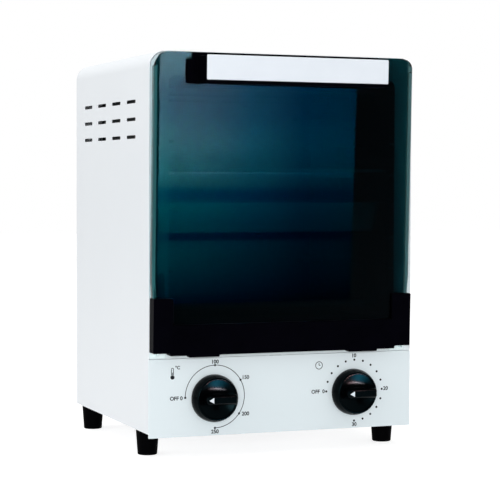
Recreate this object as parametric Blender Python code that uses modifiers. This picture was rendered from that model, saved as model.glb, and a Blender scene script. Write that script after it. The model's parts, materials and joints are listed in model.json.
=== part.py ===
"""Benchtop dry heat sterilizer with a drop-down glass door, two dials, a rack and a tray.

Metres, +Z up, the front towards -Y. The origin is on the bench, under the middle of the whole object.
Levels are heights above the lower edge of the control panel, and depths run back from the front plane.

The feature that takes the most skill is the door: glass bent at both sides, gripped by a rail that swings
clear of its hinge brackets, and stopped by a curved arm that slides through a slot in the front frame.
"""

import math

import bmesh
import bpy
from mathutils import Matrix, Vector

# Casing
BODY_WIDTH = 0.250
BODY_DEPTH = 0.226
BODY_HEIGHT = 0.333
GROUND_CLEARANCE = 0.019
SHEET = 0.0010
CORNER_RADIUS = 0.014
SKIRT_LEVEL = 0.0032
BASE_FLANGE = 0.010

# Clearances
FIT = 0.0003
OVERRUN = 0.002

# Cooling slots in both sides, in the base and in the back
VENT_LENGTH = 0.027
VENT_HEIGHT = 0.003
VENT_COLUMNS = 4
VENT_ROWS = 3
VENT_FIRST_DEPTH = 0.0515
VENT_REAR_MARGIN = 0.041
VENT_TOP_DROP = 0.042
VENT_ROW_PITCH = 0.0155
BASE_VENT_COUNT = 5
BASE_VENT_LENGTH = 0.060
BASE_VENT_PITCH = 0.018
REAR_VENT_ROWS = 6
REAR_VENT_LENGTH = 0.050
REAR_VENT_OFFSET = 0.045
REAR_VENT_DROP = 0.0655

# Control panel and front frame
PANEL_HEIGHT = 0.0681
PANEL_THICKNESS = 0.0012
PANEL_EDGE = 0.0004
FRAME_THICKNESS = 0.0012
FRAME_BORDER = 0.0175
OPENING_BOTTOM = 0.097
FRAME_TOP_BORDER = 0.021
OPENING_RADIUS = 0.006
SEAM_DROP = 0.018
SEAM_HEIGHT = 0.0008
SEAM_DEPTH = 0.0005
ARM_SLOT_LAND = 0.0034
ARM_SLOT_WIDTH = 0.0066
ARM_SLOT_BOTTOM = 0.1035
ARM_SLOT_TOP = 0.1424

# Chamber, with pressed ledges in its sides
REAR_SPACE = 0.036
CHAMBER_SHEET = 0.0008
CHAMBER_MARGIN = 0.0005
LEDGE_FIRST_LEVEL = 0.1455
LEDGE_PITCH = 0.028
LEDGE_HEADROOM = 0.040
LEDGE_REACH = 0.006
LEDGE_HEIGHT = 0.003

# Heaters and sensor
HEATER_RADIUS = 0.0035
HEATER_END = 0.0025
HEATER_MARGIN = 0.044
HEATER_GAP = 0.009
SENSOR_RADIUS = 0.0025
SENSOR_LENGTH = 0.080
SENSOR_TAIL = 0.010
SENSOR_INSET = 0.015
SENSOR_DROP = 0.028

# Rack and tray
SHELF_SIDE_GAP = 0.0012
SHELF_FRONT_GAP = 0.006
SHELF_REAR_GAP = 0.0095
RACK_LEDGE_FROM_TOP = 1
RACK_RAIL_RADIUS = 0.0016
RACK_WIRE_RADIUS = 0.0010
RACK_WIRES = 11
RACK_CORNER = 0.010
TRAY_LEDGE_FROM_TOP = 2
TRAY_SHEET = 0.0008
TRAY_HEIGHT = 0.0255
TRAY_DRAFT = 0.004
TRAY_CORNER = 0.016
TRAY_RIM = 0.0052
TRAY_FLOOR_RADIUS = 0.003

# Door
DOOR_TILT = math.radians(1.7)
DOOR_SHIFT = -0.0031
DOOR_INSET = 0.0032
DOOR_GAP = 0.0009
HINGE_FORWARD = 0.006
HINGE_LEVEL = 0.0747
RAIL_BOTTOM = 0.0720
RAIL_TOP = 0.0985
RAIL_FORWARD = 0.0123
RAIL_EDGE = 0.0006
CAP_WIDTH = 0.018
CAP_TOP = 0.1213
CAP_BOTTOM = 0.0744
LUG_BOTTOM = 0.0702
LUG_WIDTH = 0.0278
LUG_INSET = 0.0466
GLASS_THICKNESS = 0.0035
GLASS_FORWARD = 0.0088
GLASS_BEND = 0.004
GLASS_SIDE_WALL = 0.0007
GLASS_BOTTOM = 0.084
GLASS_TOP_DROP = 0.0015
GLASS_CORNER = 0.012

# Hinges and the arm that stops the door
PIN_RADIUS = 0.0015
PIN_LENGTH = 0.0095
PIN_INSET = 0.0015
BRACKET_WIDTH = 0.0147
BRACKET_INSET = 0.0005
BRACKET_SHEET = 0.0008
BRACKET_LIFT = 0.0008
EAR_INSET = 0.0055
EAR_THICKNESS = 0.0015
EAR_RADIUS = 0.003
EAR_SWEEP = 0.006
ARM_THICKNESS = 0.002
ARM_INNER_RADIUS = 0.032
ARM_OUTER_RADIUS = 0.044
ARM_HOOK_RADIUS = 0.024
ARM_START = math.radians(4)
ARM_HOOK_START = math.radians(107)
ARM_END = math.radians(113)

# Handle
HANDLE_INSET = 0.0376
HANDLE_HEIGHT = 0.021
HANDLE_DROP = 0.003
HANDLE_REACH = 0.0264
HANDLE_PLATE = 0.0025
HANDLE_RECESS = 0.0005
HANDLE_BAR = 0.0085
HANDLE_POST = 0.014
HANDLE_EDGE = 0.0008
STRIP_MARGIN = 0.0031
STRIP_HEIGHT = 0.022
STRIP_THICKNESS = 0.0030
SCREW_RADIUS = 0.0020
SCREW_HEAD_RADIUS = 0.0032
SCREW_HEAD = 0.0013
SCREW_BITE = 0.011

# Dials
KNOB_LEVEL = 0.0329
TEMPERATURE_KNOB_INSET = 0.0591
TIMER_KNOB_INSET = 0.0577
KNOB_GAP = 0.0008
KNOB_RADIUS = 0.0208
KNOB_FRONT_RADIUS = 0.0189
KNOB_SKIRT = 0.0115
KNOB_RIM = 0.0022
KNOB_DISH = 0.0045
KNOB_POINTER_REACH = 0.0130
KNOB_POINTER_ROUND = 0.0032
KNOB_GRIP_REACH = 0.0154
KNOB_GRIP_ROUND = 0.0018
KNOB_BLADE_WIDTH = 0.0086
KNOB_BLADE_DRAFT = 0.0012
KNOB_FRONT = 0.0185
KNOB_BORE_DEPTH = 0.012
SHAFT_RADIUS = 0.003
SHAFT_SEAT = 0.009
NECK_RADIUS = 0.0047
THERMOSTAT_RADIUS = 0.016
THERMOSTAT_LENGTH = 0.024
TIMER_RADIUS = 0.0215
TIMER_LENGTH = 0.030

# Feet, bush and terminal block
FOOT_TOP_RADIUS = 0.0102
FOOT_BOTTOM_RADIUS = 0.0087
FOOT_EDGE = 0.0010
FOOT_INSET = 0.0107
FOOT_FRONT_DEPTH = 0.036
FOOT_REAR_MARGIN = 0.020
FOOT_SCREW_RADIUS = 0.0020
FOOT_SCREW_HEAD_RADIUS = 0.0038
FOOT_SCREW_HEAD = 0.0025
FOOT_COUNTERBORE = 0.010
FOOT_SCREW_TIP = 0.006
BUSH_BORE = 0.0042
BUSH_NECK = 0.0072
BUSH_FLANGE = 0.0100
BUSH_LIP = 0.0020
BUSH_NOSE = 0.0070
BUSH_INSET = 0.040
BUSH_LEVEL = 0.036
TERMINAL_LENGTH = 0.042
TERMINAL_WIDTH = 0.018
TERMINAL_HEIGHT = 0.016
TERMINAL_GROOVES = 3
TERMINAL_WALL = 0.0022
TERMINAL_GROOVE_DEPTH = 0.006

# Steps of round forms
ARC_STEPS = 4
ROUND_STEPS = 32
SMALL_STEPS = 16
TUBE_STEPS = 12
ARM_STEPS = 14

# Sizes and places that follow from the casing's
OPENING_TOP = BODY_HEIGHT - FRAME_TOP_BORDER
CHAMBER_BOTTOM = OPENING_BOTTOM - CHAMBER_MARGIN
CHAMBER_TOP = OPENING_TOP + CHAMBER_MARGIN
CHAMBER_START = FRAME_THICKNESS + FIT
CHAMBER_DEPTH = BODY_DEPTH - REAR_SPACE
LEDGE_COUNT = 1 + int((OPENING_TOP - LEDGE_HEADROOM - LEDGE_FIRST_LEVEL) / LEDGE_PITCH)
HEATER_DEPTHS = {
    "front": CHAMBER_START + HEATER_MARGIN,
    "rear": CHAMBER_START + CHAMBER_DEPTH - HEATER_MARGIN,
}
HEATER_UPPER_LEVEL = CHAMBER_TOP - HEATER_GAP - HEATER_RADIUS
HEATER_LOWER_LEVEL = CHAMBER_BOTTOM + HEATER_GAP + HEATER_RADIUS
SENSOR_LEVEL = OPENING_TOP - SENSOR_DROP
SHELF_DEPTH = CHAMBER_START + CHAMBER_DEPTH - SHELF_FRONT_GAP - SHELF_REAR_GAP
VENT_COLUMN_PITCH = (BODY_DEPTH - VENT_FIRST_DEPTH - VENT_REAR_MARGIN) / (VENT_COLUMNS - 1)
GLASS_TOP = BODY_HEIGHT - GLASS_TOP_DROP
HANDLE_TOP = GLASS_TOP - HANDLE_DROP
HANDLE_BOTTOM = HANDLE_TOP - HANDLE_HEIGHT
OPENING_WIDTH = BODY_WIDTH - 2 * FRAME_BORDER
CHAMBER_HALF_WIDTH = OPENING_WIDTH / 2 + CHAMBER_MARGIN
INNER_HALF_WIDTH = BODY_WIDTH / 2 - SHEET - FIT
SENSOR_X = CHAMBER_HALF_WIDTH - SENSOR_INSET
DOOR_WIDTH = BODY_WIDTH - 2 * DOOR_INSET
HANDLE_LENGTH = DOOR_WIDTH - 2 * HANDLE_INSET
ARM_X = -(OPENING_WIDTH + ARM_SLOT_WIDTH) / 2 - ARM_SLOT_LAND
TEMPERATURE_KNOB_X = TEMPERATURE_KNOB_INSET - BODY_WIDTH / 2
TIMER_KNOB_X = BODY_WIDTH / 2 - TIMER_KNOB_INSET
BUSH_X = BODY_WIDTH / 2 - BUSH_INSET

# Where the hinge axis and the front plane lie
HANDLE_FORWARD = GLASS_FORWARD + HANDLE_REACH
HANDLE_LEAN = (HANDLE_TOP - HINGE_LEVEL) * math.sin(DOOR_TILT)
FRONT_REACH = HINGE_FORWARD + (HANDLE_FORWARD - HINGE_FORWARD) * math.cos(DOOR_TILT) + HANDLE_LEAN
REAR_REACH = BODY_DEPTH + BUSH_NOSE
FRONT_Y = (FRONT_REACH - REAR_REACH) / 2

FACING_FRONT = Matrix(((1, 0, 0, 0), (0, 0, -1, 0), (0, 1, 0, 0), (0, 0, 0, 1)))
FACING_SIDE = Matrix(((0, 0, 1, 0), (1, 0, 0, 0), (0, 1, 0, 0), (0, 0, 0, 1)))
FACING_UP = Matrix.Identity(4)

FINISHES = {
    "white_enamel": ((0.80, 0.85, 0.87), 0.35, 0.0),
    "black_plastic": ((0.012, 0.013, 0.016), 0.25, 0.0),
    "white_plastic": ((0.86, 0.87, 0.88), 0.30, 0.0),
    "tinted_glass": ((0.02, 0.09, 0.11), 0.05, 0.0),
    "bright_steel": ((0.56, 0.57, 0.58), 0.25, 1.0),
    "dull_steel": ((0.38, 0.39, 0.40), 0.45, 1.0),
    "black_rubber": ((0.015, 0.015, 0.017), 0.60, 0.0),
    "ceramic": ((0.70, 0.68, 0.62), 0.60, 0.0),
}


def start_scene():
    """Remove what the scene holds and make the two collections."""
    for item in list(bpy.data.objects):
        bpy.data.objects.remove(item, do_unlink=True)
    for name in ("dry_heat_sterilizer", "cutters"):
        collection = bpy.data.collections.new(name)
        bpy.context.scene.collection.children.link(collection)


def finish(name):
    """Return the Principled material of a finish, made at its first use."""
    material = bpy.data.materials.get(name)
    if material is None:
        colour, roughness, metallic = FINISHES[name]
        material = bpy.data.materials.new(name)
        material.use_nodes = True
        shader = material.node_tree.nodes["Principled BSDF"]
        shader.inputs["Base Color"].default_value = (*colour, 1.0)
        shader.inputs["Roughness"].default_value = roughness
        shader.inputs["Metallic"].default_value = metallic
    return material


def depth(distance):
    """Return the Y of a distance behind the front plane."""
    return FRONT_Y + distance


def level(height):
    """Return the Z of a height above the control panel's lower edge."""
    return GROUND_CLEARANCE + height


def part(name, data, surface, location, parent=None):
    """Put a mesh or curve in the model as one sub-part."""
    item = bpy.data.objects.new(name, data)
    item.location = location
    item.parent = parent
    data.materials.append(finish(surface))
    bpy.data.collections["dry_heat_sterilizer"].objects.link(item)
    return item


def cutter(name, mesh, location, parent=None):
    """Put a mesh among the cutters, out of the model."""
    item = bpy.data.objects.new(name, mesh)
    item.location = location
    item.parent = parent
    item.display_type = "WIRE"
    item.hide_render = True
    bpy.data.collections["cutters"].objects.link(item)
    return item


def combine(item, other, operation="DIFFERENCE", solver="EXACT"):
    """Cut another object out of this one, or join it on."""
    modifier = item.modifiers.new(other.name, "BOOLEAN")
    modifier.object = other
    modifier.operation = operation
    modifier.solver = solver


def soften(item, width, segments=2):
    """Round the sharp edges."""
    modifier = item.modifiers.new("Soft edges", "BEVEL")
    modifier.width = width
    modifier.segments = segments
    modifier.limit_method = "ANGLE"


def mesh_from(name, shape):
    """Turn a bmesh into a mesh with its faces pointing out."""
    shape.normal_update()
    bmesh.ops.recalc_face_normals(shape, faces=shape.faces)
    mesh = bpy.data.meshes.new(name)
    shape.to_mesh(mesh)
    shape.free()
    return mesh


def mesh_of_curve(curve, turn):
    """Return the welded mesh of a curve, turned."""
    guide = bpy.data.objects.new(curve.name, curve)
    bpy.context.scene.collection.objects.link(guide)
    bpy.context.view_layer.update()
    graph = bpy.context.evaluated_depsgraph_get()
    mesh = bpy.data.meshes.new_from_object(guide.evaluated_get(graph), depsgraph=graph)
    bpy.data.objects.remove(guide, do_unlink=True)
    shape = bmesh.new()
    shape.from_mesh(mesh)
    bmesh.ops.remove_doubles(shape, verts=shape.verts, dist=FIT / 10)
    shape.transform(turn)
    return mesh_from(curve.name, shape)


def rounded(corners, closed=True):
    """Return the outline through corners of (u, v, radius), with an arc at each corner."""
    points = []
    last = len(corners) - 1
    for index, (u, v, radius) in enumerate(corners):
        if radius == 0 or (not closed and index in (0, last)):
            points.append((u, v))
            continue
        here = Vector((u, v))
        before = (Vector(corners[index - 1][:2]) - here).normalized()
        after = (Vector(corners[(index + 1) % len(corners)][:2]) - here).normalized()
        half_angle = before.angle(after) / 2
        centre = here + (before + after).normalized() * radius / math.sin(half_angle)
        start = here + before * radius / math.tan(half_angle) - centre
        end = here + after * radius / math.tan(half_angle) - centre
        first = math.atan2(start.y, start.x)
        sweep = (math.atan2(end.y, end.x) - first + math.pi) % (2 * math.pi) - math.pi
        points += arc(centre.x, centre.y, radius, first, first + sweep, ARC_STEPS)
    return points


def arc(u, v, radius, first, last, steps):
    """Return the points along an arc."""
    angles = [first + (last - first) * step / steps for step in range(steps + 1)]
    return [(u + radius * math.cos(angle), v + radius * math.sin(angle)) for angle in angles]


def rectangle(left, right, bottom, top, radius=0.0):
    """Return a rectangle's outline, with rounded corners if a radius is given."""
    corners = [(left, bottom), (right, bottom), (right, top), (left, top)]
    return rounded([(u, v, radius) for u, v in corners])


def slot(u, v, length, width):
    """Return the outline of a slot with round ends, along u."""
    run = (length - width) / 2
    right = arc(u + run, v, width / 2, -math.pi / 2, math.pi / 2, ARC_STEPS)
    left = arc(u - run, v, width / 2, math.pi / 2, math.pi * 3 / 2, ARC_STEPS)
    return right + left


def upright_slot(u, bottom, top, width):
    """Return the outline of a slot with round ends, along v."""
    upper = arc(u, top - width / 2, width / 2, 0, math.pi, ARC_STEPS)
    lower = arc(u, bottom + width / 2, width / 2, math.pi, math.pi * 2, ARC_STEPS)
    return upper + lower


def circle(u, v, radius):
    """Return a circle's outline."""
    return arc(u, v, radius, 0, math.tau, SMALL_STEPS)[:-1]


def plate_mesh(name, outlines, thickness, turn=FACING_FRONT):
    """Return the mesh of a flat plate: the first outline is its edge and the others are holes."""
    curve = bpy.data.curves.new(name, "CURVE")
    curve.dimensions = "2D"
    curve.fill_mode = "BOTH"
    curve.extrude = thickness / 2
    for outline in outlines:
        spline = curve.splines.new("POLY")
        spline.points.add(len(outline) - 1)
        spline.use_cyclic_u = True
        for point, (u, v) in zip(spline.points, outline):
            point.co = (u, v, 0, 1)
    return mesh_of_curve(curve, turn)


def bent_sheet_mesh(name, path, length, turn=FACING_FRONT):
    """Return the middle surface of a sheet folded along a path."""
    shape = bmesh.new()
    corners = [shape.verts.new((u, v, -length / 2)) for u, v in path]
    edges = [shape.edges.new(pair) for pair in zip(corners, corners[1:])]
    swept = bmesh.ops.extrude_edge_only(shape, edges=edges)["geom"]
    moved = [item for item in swept if isinstance(item, bmesh.types.BMVert)]
    bmesh.ops.translate(shape, verts=moved, vec=(0, 0, length))
    shape.transform(turn)
    return mesh_from(name, shape)


def thicken(item, thickness):
    """Give a surface its sheet thickness, half to each side."""
    modifier = item.modifiers.new("Sheet", "SOLIDIFY")
    modifier.thickness = thickness
    modifier.offset = 0
    modifier.use_even_offset = True


def box_mesh(name, width, length, height):
    """Return a box's mesh, centred."""
    shape = bmesh.new()
    bmesh.ops.create_cube(shape, size=1)
    bmesh.ops.scale(shape, verts=shape.verts, vec=(width, length, height))
    return mesh_from(name, shape)


def rod_mesh(name, radius, length, axis="Z", steps=SMALL_STEPS):
    """Return a cylinder's mesh, centred, along X, Y or Z."""
    shape = bmesh.new()
    bmesh.ops.create_cone(
        shape, cap_ends=True, segments=steps, radius1=radius, radius2=radius, depth=length
    )
    turns = {"X": FACING_SIDE, "Y": FACING_FRONT, "Z": FACING_UP}
    shape.transform(turns[axis])
    mesh = mesh_from(name, shape)
    mesh.shade_smooth()
    mesh.set_sharp_from_angle(angle=math.radians(40))
    return mesh


def joined_mesh(name, meshes, places):
    """Return one mesh that holds several separate bodies."""
    shape = bmesh.new()
    for mesh, place in zip(meshes, places):
        first = len(shape.verts)
        shape.from_mesh(mesh)
        shape.verts.ensure_lookup_table()
        bmesh.ops.translate(shape, verts=shape.verts[first:], vec=place)
    return mesh_from(name, shape)


def loft_mesh(name, rings, closed_start):
    """Join rings of (outline, height) into a surface, closed at its last ring and if asked at its first."""
    shape = bmesh.new()
    loops = [[shape.verts.new((u, v, height)) for u, v in outline] for outline, height in rings]
    for first, second in zip(loops, loops[1:]):
        for index in range(len(first)):
            after = (index + 1) % len(first)
            shape.faces.new((first[index], first[after], second[after], second[index]))
    shape.faces.new(loops[-1])
    if closed_start:
        shape.faces.new(loops[0])
    return mesh_from(name, shape)


def turned_mesh(name, profile, closed=False):
    """Return a profile of (radius, height) points to be turned about Z."""
    shape = bmesh.new()
    corners = [shape.verts.new((radius, 0, height)) for radius, height in profile]
    ends = corners[1:] + corners[:1] if closed else corners[1:]
    for pair in zip(corners, ends):
        shape.edges.new(pair)
    return mesh_from(name, shape)


def turn_on_axis(item, steps=ROUND_STEPS):
    """Turn a profile all the way round."""
    modifier = item.modifiers.new("Turned", "SCREW")
    modifier.steps = steps
    modifier.render_steps = steps
    modifier.use_merge_vertices = True
    modifier.merge_threshold = FIT / 10
    modifier.use_smooth_shade = True


# Casing


def wrapper_path():
    """Return the middle line of the wrapper's sheet, from one lower edge to the other."""
    half = BODY_WIDTH / 2 - SHEET / 2
    top = BODY_HEIGHT - SHEET / 2
    radius = CORNER_RADIUS - SHEET / 2
    corners = [(-half, SKIRT_LEVEL, 0), (-half, top, radius), (half, top, radius), (half, SKIRT_LEVEL, 0)]
    return rounded(corners, closed=False)


def side_vent_cutter():
    """Return bars with round ends that cut the slots through both sides."""
    outline = slot(0, 0, VENT_LENGTH, VENT_HEIGHT)
    bar = plate_mesh("vent_bar", [outline], BODY_WIDTH + 2 * OVERRUN, FACING_SIDE)
    places = []
    for column in range(VENT_COLUMNS):
        for row in range(VENT_ROWS):
            place_y = depth(VENT_FIRST_DEPTH + column * VENT_COLUMN_PITCH)
            place_z = level(BODY_HEIGHT - VENT_TOP_DROP - row * VENT_ROW_PITCH)
            places.append((0, place_y, place_z))
    mesh = joined_mesh("side_vents", [bar] * len(places), places)
    return cutter("side_vent_cutter", mesh, (0, 0, 0))


def make_wrapper():
    """Fold the wrapper over the top and both sides, slotted, and notched for the panel."""
    mesh = bent_sheet_mesh("outer_wrapper", wrapper_path(), BODY_DEPTH)
    wrapper = part("outer_wrapper", mesh, "white_enamel", (0, depth(BODY_DEPTH / 2), level(0)))
    thicken(wrapper, SHEET)
    notch_length = PANEL_THICKNESS + FIT + OVERRUN
    notch = box_mesh("panel_notch", BODY_WIDTH + 2 * OVERRUN, notch_length, PANEL_HEIGHT + FIT + OVERRUN)
    place_y = depth(PANEL_THICKNESS + FIT - notch_length / 2)
    place_z = level((PANEL_HEIGHT + FIT - OVERRUN) / 2)
    combine(wrapper, cutter("panel_notch", notch, (0, place_y, place_z)))
    combine(wrapper, side_vent_cutter())


def foot_places():
    """Return the name and the place of each foot's axis."""
    side = BODY_WIDTH / 2 - FOOT_INSET
    places = {}
    for row, distance in (("front", FOOT_FRONT_DEPTH), ("rear", BODY_DEPTH - FOOT_REAR_MARGIN)):
        places[row + "_left"] = (-side, depth(distance))
        places[row + "_right"] = (side, depth(distance))
    return places


def make_base():
    """Fold the base tray, with cooling slots and the feet's screw holes."""
    half = INNER_HALF_WIDTH - SHEET / 2
    bottom = SKIRT_LEVEL + SHEET / 2
    top = SKIRT_LEVEL + BASE_FLANGE
    corners = [(-half, top, 0), (-half, bottom, SHEET), (half, bottom, SHEET), (half, top, 0)]
    front = PANEL_THICKNESS + FIT
    length = BODY_DEPTH - front
    mesh = bent_sheet_mesh("base_tray", rounded(corners, closed=False), length)
    base = part("base_tray", mesh, "dull_steel", (0, depth(front + length / 2), level(0)))
    thicken(base, SHEET)
    bar = plate_mesh("base_bar", [slot(0, 0, BASE_VENT_LENGTH, VENT_HEIGHT)], SHEET + 2 * OVERRUN, FACING_UP)
    hole = rod_mesh("base_hole", FOOT_SCREW_RADIUS + FIT, SHEET + 2 * OVERRUN)
    rows = range(BASE_VENT_COUNT)
    middle = (BASE_VENT_COUNT - 1) / 2
    places = [(0, depth(BODY_DEPTH / 2 + (row - middle) * BASE_VENT_PITCH), 0) for row in rows]
    holes = [(x, y, 0) for x, y in foot_places().values()]
    meshes = [bar] * len(places) + [hole] * len(holes)
    openings = joined_mesh("base_openings", meshes, places + holes)
    combine(base, cutter("base_opening_cutter", openings, (0, 0, level(bottom))))


def make_rear_panel():
    """Make the back plate, with two columns of slots and the bush's hole."""
    top = BODY_HEIGHT - SHEET - FIT
    bottom = SKIRT_LEVEL + SHEET + FIT
    half = INNER_HALF_WIDTH - SHEET - FIT
    radius = CORNER_RADIUS - SHEET - FIT
    shoulder = INNER_HALF_WIDTH
    step = SKIRT_LEVEL + BASE_FLANGE + FIT
    edge = rounded([
        (-half, bottom, 0), (half, bottom, 0), (half, step, 0), (shoulder, step, 0),
        (shoulder, top, radius), (-shoulder, top, radius), (-shoulder, step, 0), (-half, step, 0),
    ])
    outlines = [edge, circle(BUSH_X, BUSH_LEVEL, BUSH_NECK + FIT)]
    for side in (-1, 1):
        for row in range(REAR_VENT_ROWS):
            height = BODY_HEIGHT - REAR_VENT_DROP - row * VENT_ROW_PITCH
            outlines.append(slot(side * REAR_VENT_OFFSET, height, REAR_VENT_LENGTH, VENT_HEIGHT))
    mesh = plate_mesh("rear_panel", outlines, SHEET)
    part("rear_panel", mesh, "white_enamel", (0, depth(BODY_DEPTH - SHEET / 2), level(0)))


def make_front_frame():
    """Make the front frame round the chamber's mouth, with a header seam and a slot for the arm."""
    half = INNER_HALF_WIDTH
    top = BODY_HEIGHT - SHEET - FIT
    bottom = PANEL_HEIGHT + FIT
    radius = CORNER_RADIUS - SHEET - FIT
    edge = rounded([(-half, bottom, 0), (half, bottom, 0), (half, top, radius), (-half, top, radius)])
    mouth = rectangle(
        -OPENING_WIDTH / 2, OPENING_WIDTH / 2, OPENING_BOTTOM, OPENING_TOP, OPENING_RADIUS
    )
    arm_slot = upright_slot(ARM_X, ARM_SLOT_BOTTOM, ARM_SLOT_TOP, ARM_SLOT_WIDTH)
    mesh = plate_mesh("front_frame", [edge, mouth, arm_slot], FRAME_THICKNESS)
    frame = part("front_frame", mesh, "white_enamel", (0, depth(FRAME_THICKNESS / 2), level(0)))
    seam = box_mesh("header_seam", BODY_WIDTH, 2 * SEAM_DEPTH, SEAM_HEIGHT)
    combine(frame, cutter("header_seam", seam, (0, depth(0), level(BODY_HEIGHT - SEAM_DROP))))


def make_control_panel():
    """Make the control panel, with a hole for each dial's neck."""
    half = BODY_WIDTH / 2
    outlines = [rectangle(-half, half, 0, PANEL_HEIGHT, PANEL_EDGE)]
    for place_x in (TEMPERATURE_KNOB_X, TIMER_KNOB_X):
        outlines.append(circle(place_x, KNOB_LEVEL, NECK_RADIUS + FIT))
    mesh = plate_mesh("control_panel", outlines, PANEL_THICKNESS)
    part("control_panel", mesh, "white_enamel", (0, depth(PANEL_THICKNESS / 2), level(0)))


# Chamber


def ledge_level(index):
    """Return the level of the top of a pressed ledge, counted from the lowest."""
    return LEDGE_FIRST_LEVEL + index * LEDGE_PITCH


def shelf_level(from_top):
    """Return the level of the top of the ledge that a shelf lies on, counted down from the highest."""
    return ledge_level(LEDGE_COUNT - 1 - from_top)


def chamber_side_path(side):
    """Return the middle line of a side wall with its pressed ledges."""
    wall = side * (CHAMBER_HALF_WIDTH + CHAMBER_SHEET / 2)
    tip = side * (CHAMBER_HALF_WIDTH + CHAMBER_SHEET / 2 - LEDGE_REACH)
    half_sheet = CHAMBER_SHEET / 2
    path = [(wall, CHAMBER_BOTTOM + FIT)]
    for index in range(LEDGE_COUNT):
        top = ledge_level(index) - half_sheet
        bottom = top - LEDGE_HEIGHT
        path += [(wall, bottom - half_sheet), (tip, bottom), (tip, top), (wall, top)]
    path.append((wall, CHAMBER_TOP - FIT))
    return path


def make_chamber_side(name, side):
    """Press one side wall, with a hole for each heater."""
    mesh = bent_sheet_mesh(name, chamber_side_path(side), CHAMBER_DEPTH)
    place_y = depth(CHAMBER_START + CHAMBER_DEPTH / 2)
    wall = part(name, mesh, "bright_steel", (0, place_y, level(0)))
    thicken(wall, CHAMBER_SHEET)
    hole = rod_mesh(name + "_hole", HEATER_RADIUS + FIT, CHAMBER_SHEET + 2 * OVERRUN, "X")
    place_x = side * (CHAMBER_HALF_WIDTH + CHAMBER_SHEET / 2)
    places = []
    for distance in HEATER_DEPTHS.values():
        for height in (HEATER_LOWER_LEVEL, HEATER_UPPER_LEVEL):
            places.append((place_x, depth(distance), level(height)))
    mesh = joined_mesh(name + "_holes", [hole] * len(places), places)
    combine(wall, cutter(name + "_hole_cutter", mesh, (0, 0, 0)))


def make_chamber_cover(name, height):
    """Make the chamber's top or floor plate, centred on a level."""
    half = CHAMBER_HALF_WIDTH + CHAMBER_SHEET
    outline = rectangle(-half, half, -CHAMBER_DEPTH / 2, CHAMBER_DEPTH / 2)
    mesh = plate_mesh(name, [outline], CHAMBER_SHEET, FACING_UP)
    part(name, mesh, "bright_steel", (0, depth(CHAMBER_START + CHAMBER_DEPTH / 2), level(height)))


def make_chamber_back():
    """Make the chamber's back plate, with the sensor's hole."""
    half = CHAMBER_HALF_WIDTH + CHAMBER_SHEET
    outline = rectangle(-half, half, CHAMBER_BOTTOM - CHAMBER_SHEET, CHAMBER_TOP + CHAMBER_SHEET)
    hole = circle(SENSOR_X, SENSOR_LEVEL, SENSOR_RADIUS + FIT)
    mesh = plate_mesh("chamber_back", [outline, hole], CHAMBER_SHEET)
    place_y = depth(CHAMBER_START + CHAMBER_DEPTH + FIT + CHAMBER_SHEET / 2)
    part("chamber_back", mesh, "bright_steel", (0, place_y, level(0)))


def make_chamber():
    """Make the chamber's five walls."""
    make_chamber_side("chamber_left", -1)
    make_chamber_side("chamber_right", 1)
    make_chamber_cover("chamber_top", CHAMBER_TOP + CHAMBER_SHEET / 2)
    make_chamber_cover("chamber_floor", CHAMBER_BOTTOM - CHAMBER_SHEET / 2)
    make_chamber_back()


def make_heaters():
    """Put in the four straight heaters and the sensor."""
    length = 2 * (CHAMBER_HALF_WIDTH + CHAMBER_SHEET + HEATER_END)
    for row, height in (("upper", HEATER_UPPER_LEVEL), ("lower", HEATER_LOWER_LEVEL)):
        for column, distance in HEATER_DEPTHS.items():
            name = "heater_" + row + "_" + column
            mesh = rod_mesh(name, HEATER_RADIUS, length, "X")
            part(name, mesh, "dull_steel", (0, depth(distance), level(height)))
    mesh = rod_mesh("temperature_sensor", SENSOR_RADIUS, SENSOR_LENGTH + SENSOR_TAIL, "Y", TUBE_STEPS)
    middle = CHAMBER_START + CHAMBER_DEPTH + (SENSOR_TAIL - SENSOR_LENGTH) / 2
    part("temperature_sensor", mesh, "bright_steel", (SENSOR_X, depth(middle), level(SENSOR_LEVEL)))


# Rack and tray


def make_wire_rack():
    """Make the wire rack, which lies on a pair of ledges."""
    half = CHAMBER_HALF_WIDTH - SHELF_SIDE_GAP - RACK_RAIL_RADIUS
    reach = SHELF_DEPTH / 2 - RACK_RAIL_RADIUS
    rail = bpy.data.curves.new("rack_rail", "CURVE")
    rail.dimensions = "3D"
    rail.bevel_depth = RACK_RAIL_RADIUS
    rail.bevel_resolution = 1
    spline = rail.splines.new("POLY")
    outline = rectangle(-half, half, -reach, reach, RACK_CORNER)
    spline.points.add(len(outline) - 1)
    spline.use_cyclic_u = True
    for point, (u, v) in zip(spline.points, outline):
        point.co = (u, v, 0, 1)
    mesh = mesh_of_curve(rail, FACING_UP)
    place_y = depth(SHELF_FRONT_GAP + SHELF_DEPTH / 2)
    place = (0, place_y, level(shelf_level(RACK_LEDGE_FROM_TOP) + FIT + RACK_RAIL_RADIUS))
    rack = part("wire_rack", mesh, "bright_steel", place)
    wire = rod_mesh("rack_wire", RACK_WIRE_RADIUS, 2 * reach, "Y", TUBE_STEPS // 2)
    pitch = 2 * half / (RACK_WIRES + 1)
    places = [((index + 1) * pitch - half, 0, 0) for index in range(RACK_WIRES)]
    wires = joined_mesh("rack_wires", [wire] * RACK_WIRES, places)
    combine(rack, cutter("rack_wires", wires, place), "UNION")


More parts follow.
